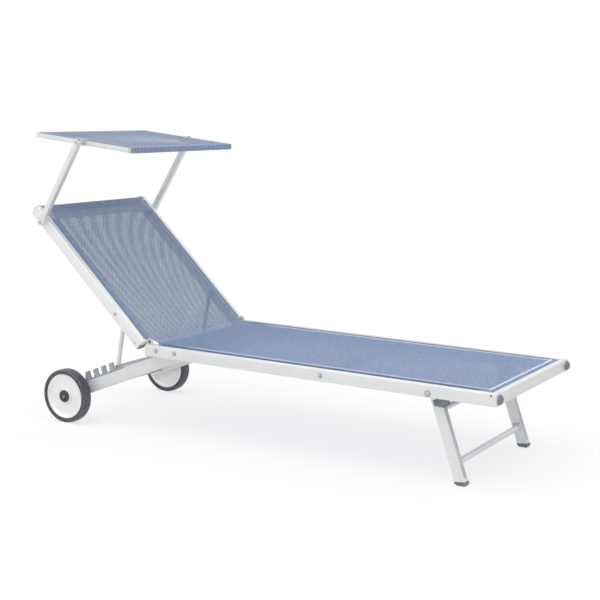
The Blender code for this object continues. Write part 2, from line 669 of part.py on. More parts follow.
def make_arms(arm, bed):
    outer = WIDTH / 2 - RAIL_WIDTH - FIT
    inner = outer - ARM_THICKNESS
    length = (ARM_REACH - AXLE_X) / math.cos(ARM_ANGLE)
    low = ARM_OVER_AXLE - ARM_HEIGHT / 2
    high = ARM_OVER_AXLE + ARM_HEIGHT / 2
    above = [
        (-ARM_REACH, -ARM_TOP_CUT), (2 * ARM_REACH, -ARM_TOP_CUT),
        (2 * ARM_REACH, ARM_REACH), (-ARM_REACH, ARM_REACH),
    ]
    trim = prism_tool(
        "arm_top_trim", above,
        lambda x, z: (x, -WIDTH, z), (0, 2 * WIDTH, 0), bed,
    )
    bore = cylinder_tool("axle_hole", (0, -WIDTH, 0), (0, WIDTH, 0), AXLE_RADIUS + FIT, arm)
    room = rounded_rectangle(
        (inner + ARM_WALL, low + ARM_WALL), (outer - ARM_WALL, high - ARM_WALL), HOLLOW_RADIUS, 2,
    )
    skin = rounded_rectangle((inner, low), (outer, high), ARM_RADIUS)
    plug = rounded_rectangle(
        (inner + ARM_WALL + SLIDE, low + ARM_WALL + SLIDE),
        (outer - ARM_WALL - SLIDE, high - ARM_WALL - SLIDE), HOLLOW_RADIUS, 2,
    )
    for word, side in SIDES.items():
        beam = prism_part(
            f"wheel_arm_{word}", skin, lambda y, z: (-ARM_TAIL, side * y, z),
            (ARM_TAIL + length, 0, 0), ALUMINIUM, arm, [room],
        )
        cut(beam, trim)
        cut(beam, bore)
        cap = prism_part(
            f"arm_cap_{word}", skin, lambda y, z: (-ARM_TAIL - FIT, side * y, z),
            (-CAP_THICKNESS, 0, 0), DARK_PLASTIC, arm,
        )
        prism_part(
            f"cap_tongue_{word}", plug, lambda y, z: (-ARM_TAIL - 2 * FIT, side * y, z),
            (CAP_TONGUE, 0, 0), DARK_PLASTIC, arm, add_to=cap,
        )
        make_rack(word, side, inner, outer, high + FIT, arm)
    end = WHEEL_INNER + HUB_FACE - AXLE_END
    tube("axle", (0, -end, 0), (0, end, 0), AXLE_RADIUS, 0, STEEL, arm)


def rack_outline(base):
    """The toothed web from the side: a hooked tooth, a round notch, a tooth, and so on."""
    top = base + RACK_HEIGHT
    half = RACK_TOOTH / 2
    floor = base + RACK_BASE + NOTCH
    end = LAST_NOTCH + RACK_TAIL
    points = [(RACK_FIRST - half - RACK_HEEL, base)]
    for number in range(RACK_TEETH):
        middle = RACK_FIRST + number * RACK_PITCH
        points += [
            (middle - half, top - TOOTH_SLOPE),
            (middle - half + TOOTH_SLOPE, top),
            (middle + half, top),
            (middle + half + TOOTH_HOOK, top - TOOTH_NOSE),
            (middle + half, top - TOOTH_UNDERCUT),
        ]
        points += arc((middle + RACK_PITCH / 2, floor), NOTCH, 180, 360, 8)
    points += [(end, base + RACK_BASE), (end, base)]
    return points


def make_rack(word, side, inner, outer, base, arm):
    web_y, web_sweep = across(side, outer - RACK_WEB, outer)
    rack = prism_part(
        f"rack_{word}", rack_outline(base), lambda a, z: (a, web_y, z), web_sweep, DARK_PLASTIC, arm,
    )
    start = RACK_FIRST - RACK_TOOTH / 2 - RACK_HEEL / 2
    end = LAST_NOTCH + RACK_TAIL
    plate = [(start, base), (end, base), (end, base + RACK_BASE), (start, base + RACK_BASE)]
    y, sweep = across(side, inner + RACK_INSET, outer - RACK_INSET)
    prism_part(
        f"rack_base_{word}", plate, lambda a, z: (a, y, z), sweep, DARK_PLASTIC, arm, add_to=rack,
    )


# ---------------------------------------------------------------- wheels

def make_wheel(word, side, axle):
    """Tyre, dished disc and hub cap, turning about the axle."""
    inner = (0, side * WHEEL_INNER, 0)
    outward = (0, side, 0)
    rim = DISC_RADIUS
    wide = WHEEL_WIDTH
    crown = WHEEL_RADIUS - TYRE_SHOULDER
    tread = [(0.0, rim + FIT)]
    tread += arc((TYRE_SHOULDER, crown), TYRE_SHOULDER, 180, 90, 3)
    tread += arc((wide - TYRE_SHOULDER, crown), TYRE_SHOULDER, 90, 0, 3)
    tread += [(wide, rim + FIT)]
    mesh = bmesh.new()
    revolve(mesh, tread, inner, outward, WHEEL_SEGMENTS)
    finished(f"tyre_{word}", mesh, RUBBER, axle)

    bore = AXLE_RADIUS + FIT
    inside = -WHEEL_GAP + FIT
    shoulder = rim - DISC_LIP
    well = shoulder - DISC_SLOPE
    disc = [
        (inside, bore), (inside, HUB_RADIUS), (DISC_BACK, HUB_RADIUS), (DISC_BACK, well),
        (DISC_EDGE, shoulder), (DISC_EDGE, rim), (wide - DISC_EDGE, rim),
        (wide - 2 * DISC_EDGE, shoulder), (DISC_FRONT, well),
        (DISC_FRONT, HUB_OUTER_RADIUS), (HUB_FACE, HUB_OUTER_RADIUS), (HUB_FACE, bore),
    ]
    mesh = bmesh.new()
    revolve(mesh, disc, inner, outward, WHEEL_SEGMENTS)
    finished(f"wheel_disc_{word}", mesh, WHITE_PLASTIC, axle)

    face = HUB_FACE + FIT
    top = face + HUB_CAP_HEIGHT
    cap = [(face, 0), (face, HUB_CAP_RADIUS)]
    cap += [(face + HUB_CAP_HEIGHT * high, HUB_CAP_RADIUS * out) for high, out in HUB_CAP_SHAPE]
    cap += [(top, HUB_CAP_RADIUS * HUB_CAP_TOP), (top, 0)]
    mesh = bmesh.new()
    revolve(mesh, cap, inner, outward, SEGMENTS)
    finished(f"hub_cap_{word}", mesh, DARK_PLASTIC, axle)


# ---------------------------------------------------------------- prop

def make_prop(prop, length):
    for word, side in SIDES.items():
        y = side * PROP_LEG_Y
        leg = tube(
            f"prop_leg_{word}", (0, y, PROP_TOP), (0, y, -length + PROP_RADIUS + FIT),
            PROP_RADIUS, PROP_WALL, ALUMINIUM, prop,
        )
        hole = cylinder_tool(
            f"prop_hole_{word}", (0, y - PROP_RADIUS - CUT_PAST, 0), (0, y + PROP_RADIUS + CUT_PAST, 0),
            RIVET_RADIUS + FIT, prop,
        )
        cut(leg, hole)
    end = PROP_LEG_Y + PROP_RADIUS
    tube("prop_bar", (0, -end, -length), (0, end, -length), PROP_RADIUS, PROP_WALL, ALUMINIUM, prop)


# ---------------------------------------------------------------- front legs

def make_legs(legs, pivot_height):
    """Legs run along local -Z from their pivot to the floor."""
    reach = pivot_height / math.cos(LEG_LEAN)
    half = LEG_WIDTH / 2
    deep = LEG_THICKNESS / 2
    tilt = LEG_LEAN + BED_PITCH

    def floor(x):
        return (-pivot_height - x * math.sin(LEG_LEAN)) / math.cos(LEG_LEAN)

    def under_bed(x, z):
        """Turns a point given in the bed's directions, from the pivot, into the leg's own."""
        return (x * math.cos(tilt) + z * math.sin(tilt), -x * math.sin(tilt) + z * math.cos(tilt))

    cut_end = [(-half, floor(-half) + LEG_END), (half, floor(half) + LEG_END)]
    shape = arc((0, 0), half, 0, 180, 12) + cut_end
    low = half - LEG_WALL
    past = -reach - CUT_PAST
    hollow = [(-low, -LEG_SOLID), (low, -LEG_SOLID), (low, past), (-low, past)]
    boot = half + FOOT_SKIN
    rail_gap = RAIL_HEIGHT - LEG_PIVOT_DROP + FIT
    stop = [under_bed(*point) for point in [
        (STOP_START, -rail_gap), (STOP_START + STOP_SLANT, -rail_gap - STOP_DEPTH),
        (STOP_REACH, -rail_gap - STOP_DEPTH), (STOP_REACH, -rail_gap),
    ]]
    for word, side in SIDES.items():
        y, sweep = across(side, LEG_Y - deep, LEG_Y + deep)
        leg = prism_part(f"leg_{word}", shape, lambda x, z: (x, y, z), sweep, ALUMINIUM, legs)
        y_in, sweep_in = across(side, LEG_Y - deep + LEG_WALL, LEG_Y + deep - LEG_WALL)
        room = prism_tool(
            f"leg_room_{word}", hollow,
            lambda x, z: (x, y_in, z), sweep_in, legs,
        )
        cut(leg, room)
        hole = cylinder_tool(
            f"leg_hole_{word}", (0, side * (LEG_Y - deep - CUT_PAST), 0),
            (0, side * (LEG_Y + deep + CUT_PAST), 0), LEG_BOLT_RADIUS + FIT, legs,
        )
        cut(leg, hole)

        top = -reach + FOOT_HEIGHT
        heel = boot - FOOT_BEVEL
        foot = [
            (-boot, top + FOOT_SLANT), (boot, top - FOOT_SLANT),
            (boot, floor(boot) + FOOT_BEVEL), (heel, floor(heel)),
            (-heel, floor(-heel)), (-boot, floor(-boot) + FOOT_BEVEL),
        ]
        y_out, sweep_out = across(side, LEG_Y - deep - FOOT_SKIN, LEG_Y + deep + FOOT_SKIN)
        cap = prism_part(
            f"foot_cap_{word}", foot, lambda x, z: (x, y_out, z), sweep_out, DARK_PLASTIC, legs,
        )
        wide = half + FIT
        seat = LEG_END - FIT
        pocket = [(wide, 0), (wide, floor(wide) + seat), (-wide, floor(-wide) + seat), (-wide, 0)]
        y_fit, sweep_fit = across(side, LEG_Y - deep - FIT, LEG_Y + deep + FIT)
        tool = prism_tool(f"foot_pocket_{word}", pocket, lambda x, z: (x, y_fit, z), sweep_fit, legs)
        cut(cap, tool)

        skin = half + KNUCKLE_SKIN
        collar = [
            (-skin, -KNUCKLE_FROM), (skin, -KNUCKLE_FROM), (skin, -KNUCKLE_TO),
            (-skin, -KNUCKLE_TO + KNUCKLE_SLANT),
        ]
        y_skin, sweep_skin = across(side, LEG_Y - deep - KNUCKLE_SKIN, LEG_Y + deep + KNUCKLE_SKIN)
        knuckle = prism_part(
            f"knuckle_{word}", collar, lambda x, z: (x, y_skin, z), sweep_skin, DARK_PLASTIC, legs,
        )
        y_stop, sweep_stop = across(side, LEG_Y - deep - KNUCKLE_SKIN, WIDTH / 2 - RAIL_WIDTH + STOP_OUT)
        prism_part(
            f"knuckle_stop_{word}", stop, lambda x, z: (x, y_stop, z), sweep_stop, DARK_PLASTIC, legs,
            add_to=knuckle,
        )
        sleeve = [(-wide, 0), (wide, 0), (wide, -STOP_REACH - CUT_PAST), (-wide, -STOP_REACH - CUT_PAST)]
        tool = prism_tool(f"knuckle_sleeve_{word}", sleeve, lambda x, z: (x, y_fit, z), sweep_fit, legs)
        cut(knuckle, tool)

    span = LEG_Y - deep - KNUCKLE_SKIN - FIT
    tube(
        "leg_tube_upper", (0, -span, -LEG_UPPER_TUBE), (0, span, -LEG_UPPER_TUBE),
        LEG_TUBE_RADIUS, TUBE_WALL, ALUMINIUM, legs,
    )
    span = LEG_Y - deep - FIT
    tube(
        "leg_tube_lower", (0, -span, -LEG_LOWER_TUBE), (0, span, -LEG_LOWER_TUBE),
        LEG_TUBE_RADIUS, TUBE_WALL, ALUMINIUM, legs,
    )


# ---------------------------------------------------------------- sunshade

def make_shade_arms(shade):
    """Arms run along local +Z from their pivots on the backrest rails."""
    near = WIDTH / 2 + SHADE_ARM_GAP
    far = near + SHADE_ARM_THICKNESS
    half = SHADE_ARM_WIDTH / 2
    skin = rounded_rectangle((-half, near), (half, far), SHADE_ARM_RADIUS)
    room = rounded_rectangle(
        (-half + SHADE_WALL, near + SHADE_WALL), (half - SHADE_WALL, far - SHADE_WALL),
        SHADE_ARM_RADIUS / 2, 2,
    )
    fill = SHADE_WALL + SLIDE
    corner = SHADE_ARM_RADIUS / 2
    tongue = rounded_rectangle((-half + fill, near + fill), (half - fill, far - fill), corner, 2)
    top = SHADE_ARM_LENGTH + half
    for word, side in SIDES.items():
        beam = prism_part(
            f"shade_arm_{word}", skin, lambda x, y: (x, side * y, SHADE_END + FIT),
            (0, 0, top - SHADE_END), ALUMINIUM, shade, [room],
        )
        pin_hole = cylinder_tool(
            f"canopy_pin_hole_{word}", (0, side * (near - CUT_PAST), SHADE_ARM_LENGTH),
            (0, side * (far + CUT_PAST), SHADE_ARM_LENGTH), SHADE_BOLT_RADIUS + FIT, shade,
        )
        cut(beam, pin_hole)
        end = arc((0, 0), half + SHADE_END_SKIN, 180, 360, 10) + [(half, SHADE_END), (-half, SHADE_END)]
        y, sweep = across(side, near, far)
        foot = prism_part(
            f"shade_arm_foot_{word}", end, lambda x, z: (x, y, z), sweep, GREY_PLASTIC, shade,
        )
        prism_part(
            f"shade_tongue_{word}", tongue, lambda x, y: (x, side * y, SHADE_END - 2 * FIT),
            (0, 0, SHADE_TONGUE), GREY_PLASTIC, shade, add_to=foot,
        )
        hole = cylinder_tool(
            f"shade_foot_hole_{word}", (0, side * (near - CUT_PAST), 0),
            (0, side * (far + CUT_PAST), 0), SHADE_BOLT_RADIUS + FIT, shade,
        )
        cut(foot, hole)


def make_canopy(canopy):
    """A flat frame about its pivots: side tubes, two round bars and the cloth over them."""
    outer = WIDTH / 2 - CANOPY_INSET
    inner = outer - CANOPY_TUBE_WIDTH
    rear = CANOPY_FRONT - CANOPY_LENGTH
    half = CANOPY_TUBE / 2
    wrap = CANOPY_BAR_RADIUS + FIT + CANOPY_CLOTH
    bar_z = half + FIT + CANOPY_CLOTH - wrap
    skin = rounded_rectangle((inner, -half), (outer, half), CANOPY_TUBE_RADIUS)
    room = rounded_rectangle(
        (inner + SHADE_WALL, -half + SHADE_WALL), (outer - SHADE_WALL, half - SHADE_WALL),
        CANOPY_TUBE_RADIUS / 2, 2,
    )
    arm_far = WIDTH / 2 + SHADE_ARM_GAP + SHADE_ARM_THICKNESS
    for word, side in SIDES.items():
        beam = prism_part(
            f"canopy_side_{word}", skin, lambda y, z: (rear, side * y, z), (CANOPY_LENGTH, 0, 0),
            ALUMINIUM, canopy, [room],
        )
        hole = cylinder_tool(
            f"canopy_hole_{word}", (0, side * (outer - CANOPY_PIN_GRIP - CUT_PAST / 4), 0),
            (0, side * (outer + CUT_PAST), 0), SHADE_BOLT_RADIUS + FIT, canopy,
        )
        cut(beam, hole)
        pin(
            f"canopy_pin_{word}", (0, side * (arm_far + FIT), 0), (0, side, 0),
            (SHADE_BOLT_HEAD, SHADE_BOLT_HEIGHT), (SHADE_BOLT_RADIUS, arm_far - outer + CANOPY_PIN_GRIP),
            (CANOPY_BUSH, SHADE_ARM_THICKNESS + 2 * FIT, arm_far - outer), GREY_PLASTIC, canopy,
        )
    for word, x in (("front", CANOPY_FRONT - wrap), ("rear", rear + wrap)):
        span = inner - FIT
        tube(
            f"canopy_bar_{word}", (x, -span, bar_z), (x, span, bar_z), CANOPY_BAR_RADIUS, TUBE_WALL,
            ALUMINIUM, canopy,
        )
    low = half + FIT
    high = low + CANOPY_CLOTH
    front = CANOPY_FRONT - wrap
    sheet = [(rear + wrap, low), (front, low), (front, high), (rear + wrap, high)]
    cloth = prism_part(
        "canopy_cloth", sheet, lambda x, z: (x, -outer, z), (0, 2 * outer, 0), MESH_FABRIC, canopy,
    )
    for word, x, toward in (("front", CANOPY_FRONT - wrap, 1), ("rear", rear + wrap, -1)):
        hem = arc((0, 0), wrap, -80, 90, 10) + [(-CANOPY_LAP, wrap), (-CANOPY_LAP, wrap - CANOPY_CLOTH)]
        hem += arc((0, 0), wrap - CANOPY_CLOTH, 90, -80, 10)
        prism_part(
            f"cloth_hem_{word}", hem, lambda a, z: (x + toward * a, FIT - inner, bar_z + z),
            (0, 2 * inner - 2 * FIT, 0), MESH_FABRIC, canopy, add_to=cloth,
        )


# ---------------------------------------------------------------- assembly

def turned(angle):
    return Matrix.Rotation(angle, 4, "Y")


def moved(x, z):
    return Matrix.Translation((x, 0, z))


def centre_footprint(root):
    """Shifts the whole object so that the origin lies under the middle of its footprint."""
    bpy.context.view_layer.update()
    reach = []
    for part in bpy.context.scene.objects:
        if part.type == "MESH" and not part.hide_render:
            reach += [(part.matrix_world @ Vector(corner)).x for corner in part.bound_box]
    root.location.x = -(min(reach) + max(reach)) / 2
    bpy.context.view_layer.update()


def main():
    root = empty("lounger", None)
    bed = empty("bed_axes", root, (0, 0, BED_HEIGHT), BED_PITCH)
    back = empty("backrest_axis", bed, (0, 0, HINGE_RISE), RECLINE)
    arm = empty("arm_axes", root, (AXLE_X, 0, WHEEL_RADIUS), -ARM_ANGLE)

    bed_frame = moved(0, BED_HEIGHT) @ turned(BED_PITCH)
    back_frame = bed_frame @ moved(0, HINGE_RISE) @ turned(RECLINE)
    arm_frame = moved(AXLE_X, WHEEL_RADIUS) @ turned(-ARM_ANGLE)

    make_bed(bed)
    make_backrest(back)
    make_arms(arm, bed)
    for word, side in SIDES.items():
        make_wheel(word, side, empty(f"wheel_axis_{word}", root, (AXLE_X, 0, WHEEL_RADIUS)))

    drop = HINGE_RISE + RAIL_HEIGHT / 2
    pivot = back_frame @ Vector((-PROP_PIVOT_ALONG, 0, -drop))
    rest = LAST_NOTCH - NOTCH + PROP_RADIUS + SLIDE
    over = ARM_OVER_AXLE + ARM_HEIGHT / 2 + RACK_BASE + 2 * FIT + PROP_RADIUS
    bar = arm_frame @ Vector((rest, 0, over))
    leg = bar - pivot
    swing = math.atan2(-leg.x, -leg.z) - BED_PITCH - RECLINE
    prop = empty("prop_axis", back, (-PROP_PIVOT_ALONG, 0, -drop), swing)
    make_prop(prop, leg.length)

    foot = bed_frame @ Vector((LEG_PIVOT_X, 0, -LEG_PIVOT_DROP))
    legs = empty("leg_axis", bed, (LEG_PIVOT_X, 0, -LEG_PIVOT_DROP), -LEG_LEAN - BED_PITCH)
    make_legs(legs, foot.z)

    lean = math.pi / 2 - SHADE_ARM_ANGLE
    shade = empty("shade_axis", back, (-SHADE_PIVOT_ALONG, 0, -drop), lean - RECLINE - BED_PITCH)
    make_shade_arms(shade)
    canopy = empty("canopy_axis", shade, (0, 0, SHADE_ARM_LENGTH), CANOPY_RISE - lean)
    make_canopy(canopy)

    centre_footprint(root)


for old in list(bpy.data.objects):
    bpy.data.objects.remove(old, do_unlink=True)

TOOL = material("cutter", (0.5, 0.5, 0.5), 0.5, 0.0)
ALUMINIUM = material("white_painted_aluminium", (0.78, 0.79, 0.80), 0.32, 0.0)
GREY_METAL = material("grey_hinge", (0.62, 0.63, 0.64), 0.4, 0.3)
STEEL = material("steel", (0.45, 0.46, 0.48), 0.3, 1.0)
DARK_PLASTIC = material("dark_grey_plastic", (0.055, 0.062, 0.078), 0.5, 0.0)
GREY_PLASTIC = material("grey_plastic", (0.36, 0.37, 0.40), 0.45, 0.0)
WHITE_PLASTIC = material("white_plastic", (0.84, 0.84, 0.82), 0.35, 0.0)
RUBBER = material("tyre_rubber", (0.035, 0.035, 0.045), 0.8, 0.0)
MESH_FABRIC = material("blue_mesh", (0.22, 0.30, 0.42), 0.8, 0.0)

main()
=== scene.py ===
"""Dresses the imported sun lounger: finishes, mesh sling, canopy cloth, wheels, fasteners, stitches,
and the floor, light and camera.

Metres, +Z up, in the part's own frame: +X points to the foot end, +Y to the left of someone lying on it.
"""

import json
import math
from functools import reduce

import bmesh
import bpy
import numpy as np
from mathutils import Matrix, Vector


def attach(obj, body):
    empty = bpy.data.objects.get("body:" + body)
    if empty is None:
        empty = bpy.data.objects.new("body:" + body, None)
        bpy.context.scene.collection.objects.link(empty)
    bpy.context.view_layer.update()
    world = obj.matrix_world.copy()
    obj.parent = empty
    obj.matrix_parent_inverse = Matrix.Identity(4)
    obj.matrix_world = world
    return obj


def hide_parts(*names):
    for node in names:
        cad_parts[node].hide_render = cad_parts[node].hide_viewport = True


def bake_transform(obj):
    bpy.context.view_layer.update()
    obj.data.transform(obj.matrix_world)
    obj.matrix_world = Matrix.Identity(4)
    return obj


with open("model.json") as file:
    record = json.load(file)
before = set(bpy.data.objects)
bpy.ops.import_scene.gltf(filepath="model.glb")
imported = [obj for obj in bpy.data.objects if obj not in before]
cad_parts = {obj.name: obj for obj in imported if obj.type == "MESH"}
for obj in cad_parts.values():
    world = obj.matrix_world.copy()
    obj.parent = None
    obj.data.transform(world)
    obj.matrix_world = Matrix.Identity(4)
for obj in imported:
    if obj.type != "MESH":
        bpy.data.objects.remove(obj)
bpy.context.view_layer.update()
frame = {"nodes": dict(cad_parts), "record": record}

# ---------------------------------------------------------------- sizes of the part

HALF_WIDTH = 0.31775      # over the side rails
BED_LENGTH = 1.320
BED_PITCH = math.radians(0.78)
BACK_PITCH = math.radians(43.78)
ARM_PITCH = math.radians(-21.4)
LEG_PITCH = math.radians(-18.93)
PROP_PITCH = math.radians(10.4856)
SHADE_PITCH = math.radians(32.3)
CANOPY_PITCH = math.radians(6.48)
HINGE_RISE = 0.0075       # the pivot above the rails' top
BACK_REACH = 0.6734       # from the pivot to the head end
RAIL_WIDTH = 0.040
SHELF_START = (0.0232, -0.0050)   # of the side rail's shelf: in from the outer face, above the lip
SHELF_END = (0.0377, -0.00135)
WHEEL_INNER = 0.2845      # inner face of the tyre, from the middle plane
WHEEL_WIDTH = 0.0405
WHEEL_RADIUS = 0.100
DISC_RADIUS = 0.0832
HUB_FACE = 0.0365
CANOPY_HALF = 0.30525
CANOPY_FRONT = 0.2218
CANOPY_LENGTH = 0.4412
CANOPY_TUBE = 0.0185
CANOPY_TUBE_WIDTH = 0.015
CANOPY_BAR_RADIUS = 0.008
CANOPY_CLOTH = 0.0016     # room for the cloth round the tubes
AXLE = Vector((-0.78401, 0, 0.100))


def placed(x, z, pitch):
    """The frame of a body: its origin in the middle plane, its X axis pitched about Y."""
    return Matrix.Translation((x, 0, z)) @ Matrix.Rotation(pitch, 4, "Y")


BED = placed(-0.40271, 0.33160, BED_PITCH)
BACK = placed(-0.40261, 0.33910, BACK_PITCH)
ARM = placed(AXLE.x, AXLE.z, ARM_PITCH)
LEGS = placed(0.69181, 0.28910, LEG_PITCH)
CANOPY = placed(-0.68040, 1.03414, CANOPY_PITCH)
SIDES = {"left": 1, "right": -1}

# ---------------------------------------------------------------- materials

NOISE_LOW, NOISE_HIGH = 0.3, 0.7      # most of a noise's values lie between these
WHITE = (1.0, 1.0, 1.0)
ALUMINIUM_LIGHT = (0.90, 0.903, 0.905)
ALUMINIUM_DARK = (0.83, 0.834, 0.842)
ALUMINIUM_SCUFF = (0.70, 0.70, 0.71)
DRAWN_LINES = (2, 260)                # per metre, along a profile and across it
SCUFFS = (14, 60)
CLOUDS = 35.0                         # per metre, on moulded pieces
EROSION = 1400.0                      # per metre: the grain that the mould leaves
TYRE_DARK = (0.070, 0.071, 0.096)
TYRE_LIGHT = (0.124, 0.126, 0.162)
TYRE_HIGHLIGHT = (0.36, 0.36, 0.39)
TYRE_TREAD_LIGHTER = (0.0930, 0.0985)          # radii between which the tyre turns lighter, from its side walls to its tread
TYRE_HIGHLIGHT_LINE = 0.0962                    # radius of the painted highlight line at its shoulder
CAP_HIGHLIGHT_MIDDLE = (0.0062, 0.0074)         # radii between which the painted highlight in the hub cap's middle ends
CAP_HIGHLIGHT_RING = 0.0205                     # radius of its painted highlight ring


class Tree:
    """Short calls that add nodes to a node tree."""

    prefix = ""

    def __init__(self, tree):
        self.tree = tree

    def set(self, socket, value):
        if isinstance(value, bpy.types.NodeSocket):
            self.tree.links.new(value, socket)
        else:
            socket.default_value = (*value, 1.0) if socket.type == "RGBA" else value

    def node(self, kind, inputs=None, **settings):
        made = self.tree.nodes.new(self.prefix + kind)
        for name, value in settings.items():
            setattr(made, name, value)
        for socket, value in (inputs or {}).items():
            self.set(made.inputs[socket], value)
        return made


class Shading(Tree):
    """A shader tree."""

    prefix = "ShaderNode"

    def maths(self, operation, *values):
        return self.node("Math", dict(enumerate(values)), operation=operation).outputs[0]

    def chain(self, operation, values):
        """The operation on the first two values, then on that and the third, and so on."""
        return reduce(lambda first, second: self.maths(operation, first, second), values)

    def add(self, *values):
        return self.chain("ADD", values)

    def times(self, *values):
        return self.chain("MULTIPLY", values)

    def highest(self, *values):
        return self.chain("MAXIMUM", values)

    def less(self, value, taken):
        return self.maths("SUBTRACT", value, taken)

    def wave(self, turns):
        return self.maths("SINE", self.times(turns, math.tau))

    def parts(self, vector):
        return self.node("SeparateXYZ", {0: vector}).outputs[:3]

    def joined(self, x, y):
        return self.node("CombineXYZ", {0: x, 1: y}).outputs[0]

    def scaled(self, vector, scale):
        return self.node("VectorMath", {0: vector, 1: scale}, operation="MULTIPLY").outputs[0]

    def dimmed(self, colour, share):
        return self.node("VectorMath", {0: colour, "Scale": share}, operation="SCALE").outputs[0]

    def turned(self, vector, pitch):
        """The coordinates in a frame whose X axis is pitched about Y."""
        return self.node("Mapping", {"Vector": vector, "Rotation": (0, -pitch, 0)}).outputs[0]

    def noise(self, vector, scale=1.0, detail=2.0, roughness=0.5):
        inputs = {"Vector": vector, "Scale": scale, "Detail": detail, "Roughness": roughness}
        return self.node("TexNoise", inputs).outputs["Fac"]

    def span(self, value, low, high, start=0.0, end=1.0):
        """The value moved from low..high to start..end."""
        return self.node("MapRange", {0: value, 1: low, 2: high, 3: start, 4: end}).outputs[0]

    def vary(self, noise, start=0.0, end=1.0):
        """A noise moved to start..end."""
        return self.span(noise, NOISE_LOW, NOISE_HIGH, start, end)

    def mix(self, share, first, second):
        return self.node("Mix", {0: share, 6: first, 7: second}, data_type="RGBA").outputs[2]

    def bump(self, height, distance, strength):
        inputs = {"Height": height, "Distance": distance, "Strength": strength}
        return self.node("Bump", inputs).outputs[0]

    def attribute(self, name):
        return self.node("Attribute", attribute_name=name).outputs["Fac"]

    def seen(self):
        """1 for what the camera sees, straight, mirrored or through something, and 0 for falling light."""
        path = self.node("LightPath").outputs
        return self.highest(path["Is Camera Ray"], path["Is Glossy Ray"], path["Is Transmission Ray"])


class Finish(Shading):
    """A material. place is the point in metres, in the part's own frame."""

    def __init__(self, name, **fixed):
        self.material = bpy.data.materials.new(name)
        self.material.use_nodes = True
        super().__init__(self.material.node_tree)
        self.shader = self.tree.nodes["Principled BSDF"]
        self.shade(**fixed)
        self.place = self.node("TexCoord").outputs["Object"]

    def shade(self, **inputs):
        for socket, value in inputs.items():
            self.set(self.shader.inputs[socket.replace("_", " ")], value)
        return self.material

    def surface(self, base, rough, height, distance, strength, **more):
        """Ends the tree with a colour, a roughness and a fine relief."""
        normal = self.bump(height, distance, strength)
        return self.shade(Base_Color=base, Roughness=rough, Normal=normal, **more)


def toned(colour, tone):
    return tuple(part * tone for part in colour)


def aluminium(name, pitch, tone=1.0, across=False):
    """Satin anodised extrusion: fine drawing lines along the piece, soft clouding and a few scuffs."""
    finish = Finish(name, Metallic=0.28, Specular_IOR_Level=0.5)
    along = finish.turned(finish.place, pitch)

    def drawn(coarse, fine, *kind):
        scale = (fine, coarse, fine) if across else (coarse, fine, fine)
        return finish.noise(finish.scaled(along, scale), 1.0, *kind)

    lines, scuffed = drawn(*DRAWN_LINES, 3.0), finish.span(drawn(*SCUFFS, 4.0, 0.7), 0.66, 0.74)
    shade = finish.add(finish.times(lines, 0.5), finish.times(finish.noise(along, 9.0, 3.0), 0.5))
    # tone makes a lighter or darker copy of the finish; on the profiles in node_finishes it paints light or
    # shade on a piece
    dark, light = toned(ALUMINIUM_DARK, tone), toned(ALUMINIUM_LIGHT, tone)
    base = finish.mix(finish.span(shade, 0.35, 0.65), dark, light)
    base = finish.mix(finish.times(scuffed, 0.25), base, ALUMINIUM_SCUFF)
    rough = finish.add(finish.vary(lines, 0.34, 0.44), finish.times(scuffed, 0.12))
    return finish.surface(base, rough, lines, 0.0001, 0.25)


def moulded(name, colour, roughness):
    """Moulded plastic with a spark-eroded grain and slightly uneven colour."""
    finish = Finish(name)
    clouds = finish.noise(finish.place, CLOUDS, 3.0)
    base = finish.mix(finish.vary(clouds), toned(colour, 0.88), toned(colour, 1.1))
    rough = finish.vary(clouds, roughness - 0.06, roughness + 0.06)
    return finish.surface(base, rough, finish.noise(finish.place, EROSION), 0.0002, 0.3)


def bright_steel(name):
    """Zinc-plated fasteners, brushed, a little dull in places."""
    finish = Finish(name, Metallic=0.9)
    clouds = finish.noise(finish.place, 120.0)
    base = finish.mix(clouds, (0.44, 0.44, 0.46), (0.60, 0.60, 0.62))
    fine = finish.noise(finish.place, 900.0, 3.0)
    return finish.surface(base, finish.vary(clouds, 0.22, 0.38), fine, 0.0001, 0.2)


def from_axle(finish):
    """Distance from the wheels' axle."""
    x, _, z = finish.parts(finish.place)
    across, high = finish.less(x, AXLE.x), finish.less(z, AXLE.z)
    return finish.maths("SQRT", finish.add(finish.times(across, across), finish.times(high, high)))


def ring(finish, radius, middle, near, far, strength):
    """A ring on a wheel: the strength up to near its middle, and nothing from far off it."""
    return finish.span(finish.maths("ABSOLUTE", finish.less(radius, middle)), near, far, strength, 0.0)


def tyre_rubber(name):
    """Dark grey moulded rubber, lighter toward the tread, with a painted highlight line at the shoulder."""
    finish = Finish(name)
    clouds = finish.noise(finish.place, 45.0, 4.0, 0.6)
    radius = from_axle(finish)
    base = finish.mix(finish.span(clouds, 0.35, 0.7), TYRE_DARK, TYRE_LIGHT)
    base = finish.dimmed(base, finish.span(radius, *TYRE_TREAD_LIGHTER, 0.78, 1.14))
    base = finish.mix(ring(finish, radius, TYRE_HIGHLIGHT_LINE, 0.0005, 0.0011, 0.35), base, TYRE_HIGHLIGHT)
    fine = finish.noise(finish.place, 700.0, 3.0)
    return finish.surface(base, finish.vary(clouds, 0.36, 0.50), fine, 0.0003, 0.35)


def disc_white(name):
    """Glossy white wheel disc, a little dust lying in it."""
    finish = Finish(name, Metallic=0.42, Coat_Weight=0.15, Coat_Roughness=0.2)
    dust = finish.noise(finish.place, 28.0, 4.0, 0.65)
    base = finish.mix(finish.span(dust, 0.52, 0.78, 0.0, 0.45), (0.95, 0.95, 0.935), (0.76, 0.76, 0.72))
    fine = finish.noise(finish.place, 1200.0)
    return finish.surface(base, finish.vary(dust, 0.36, 0.50), fine, 0.0001, 0.15)


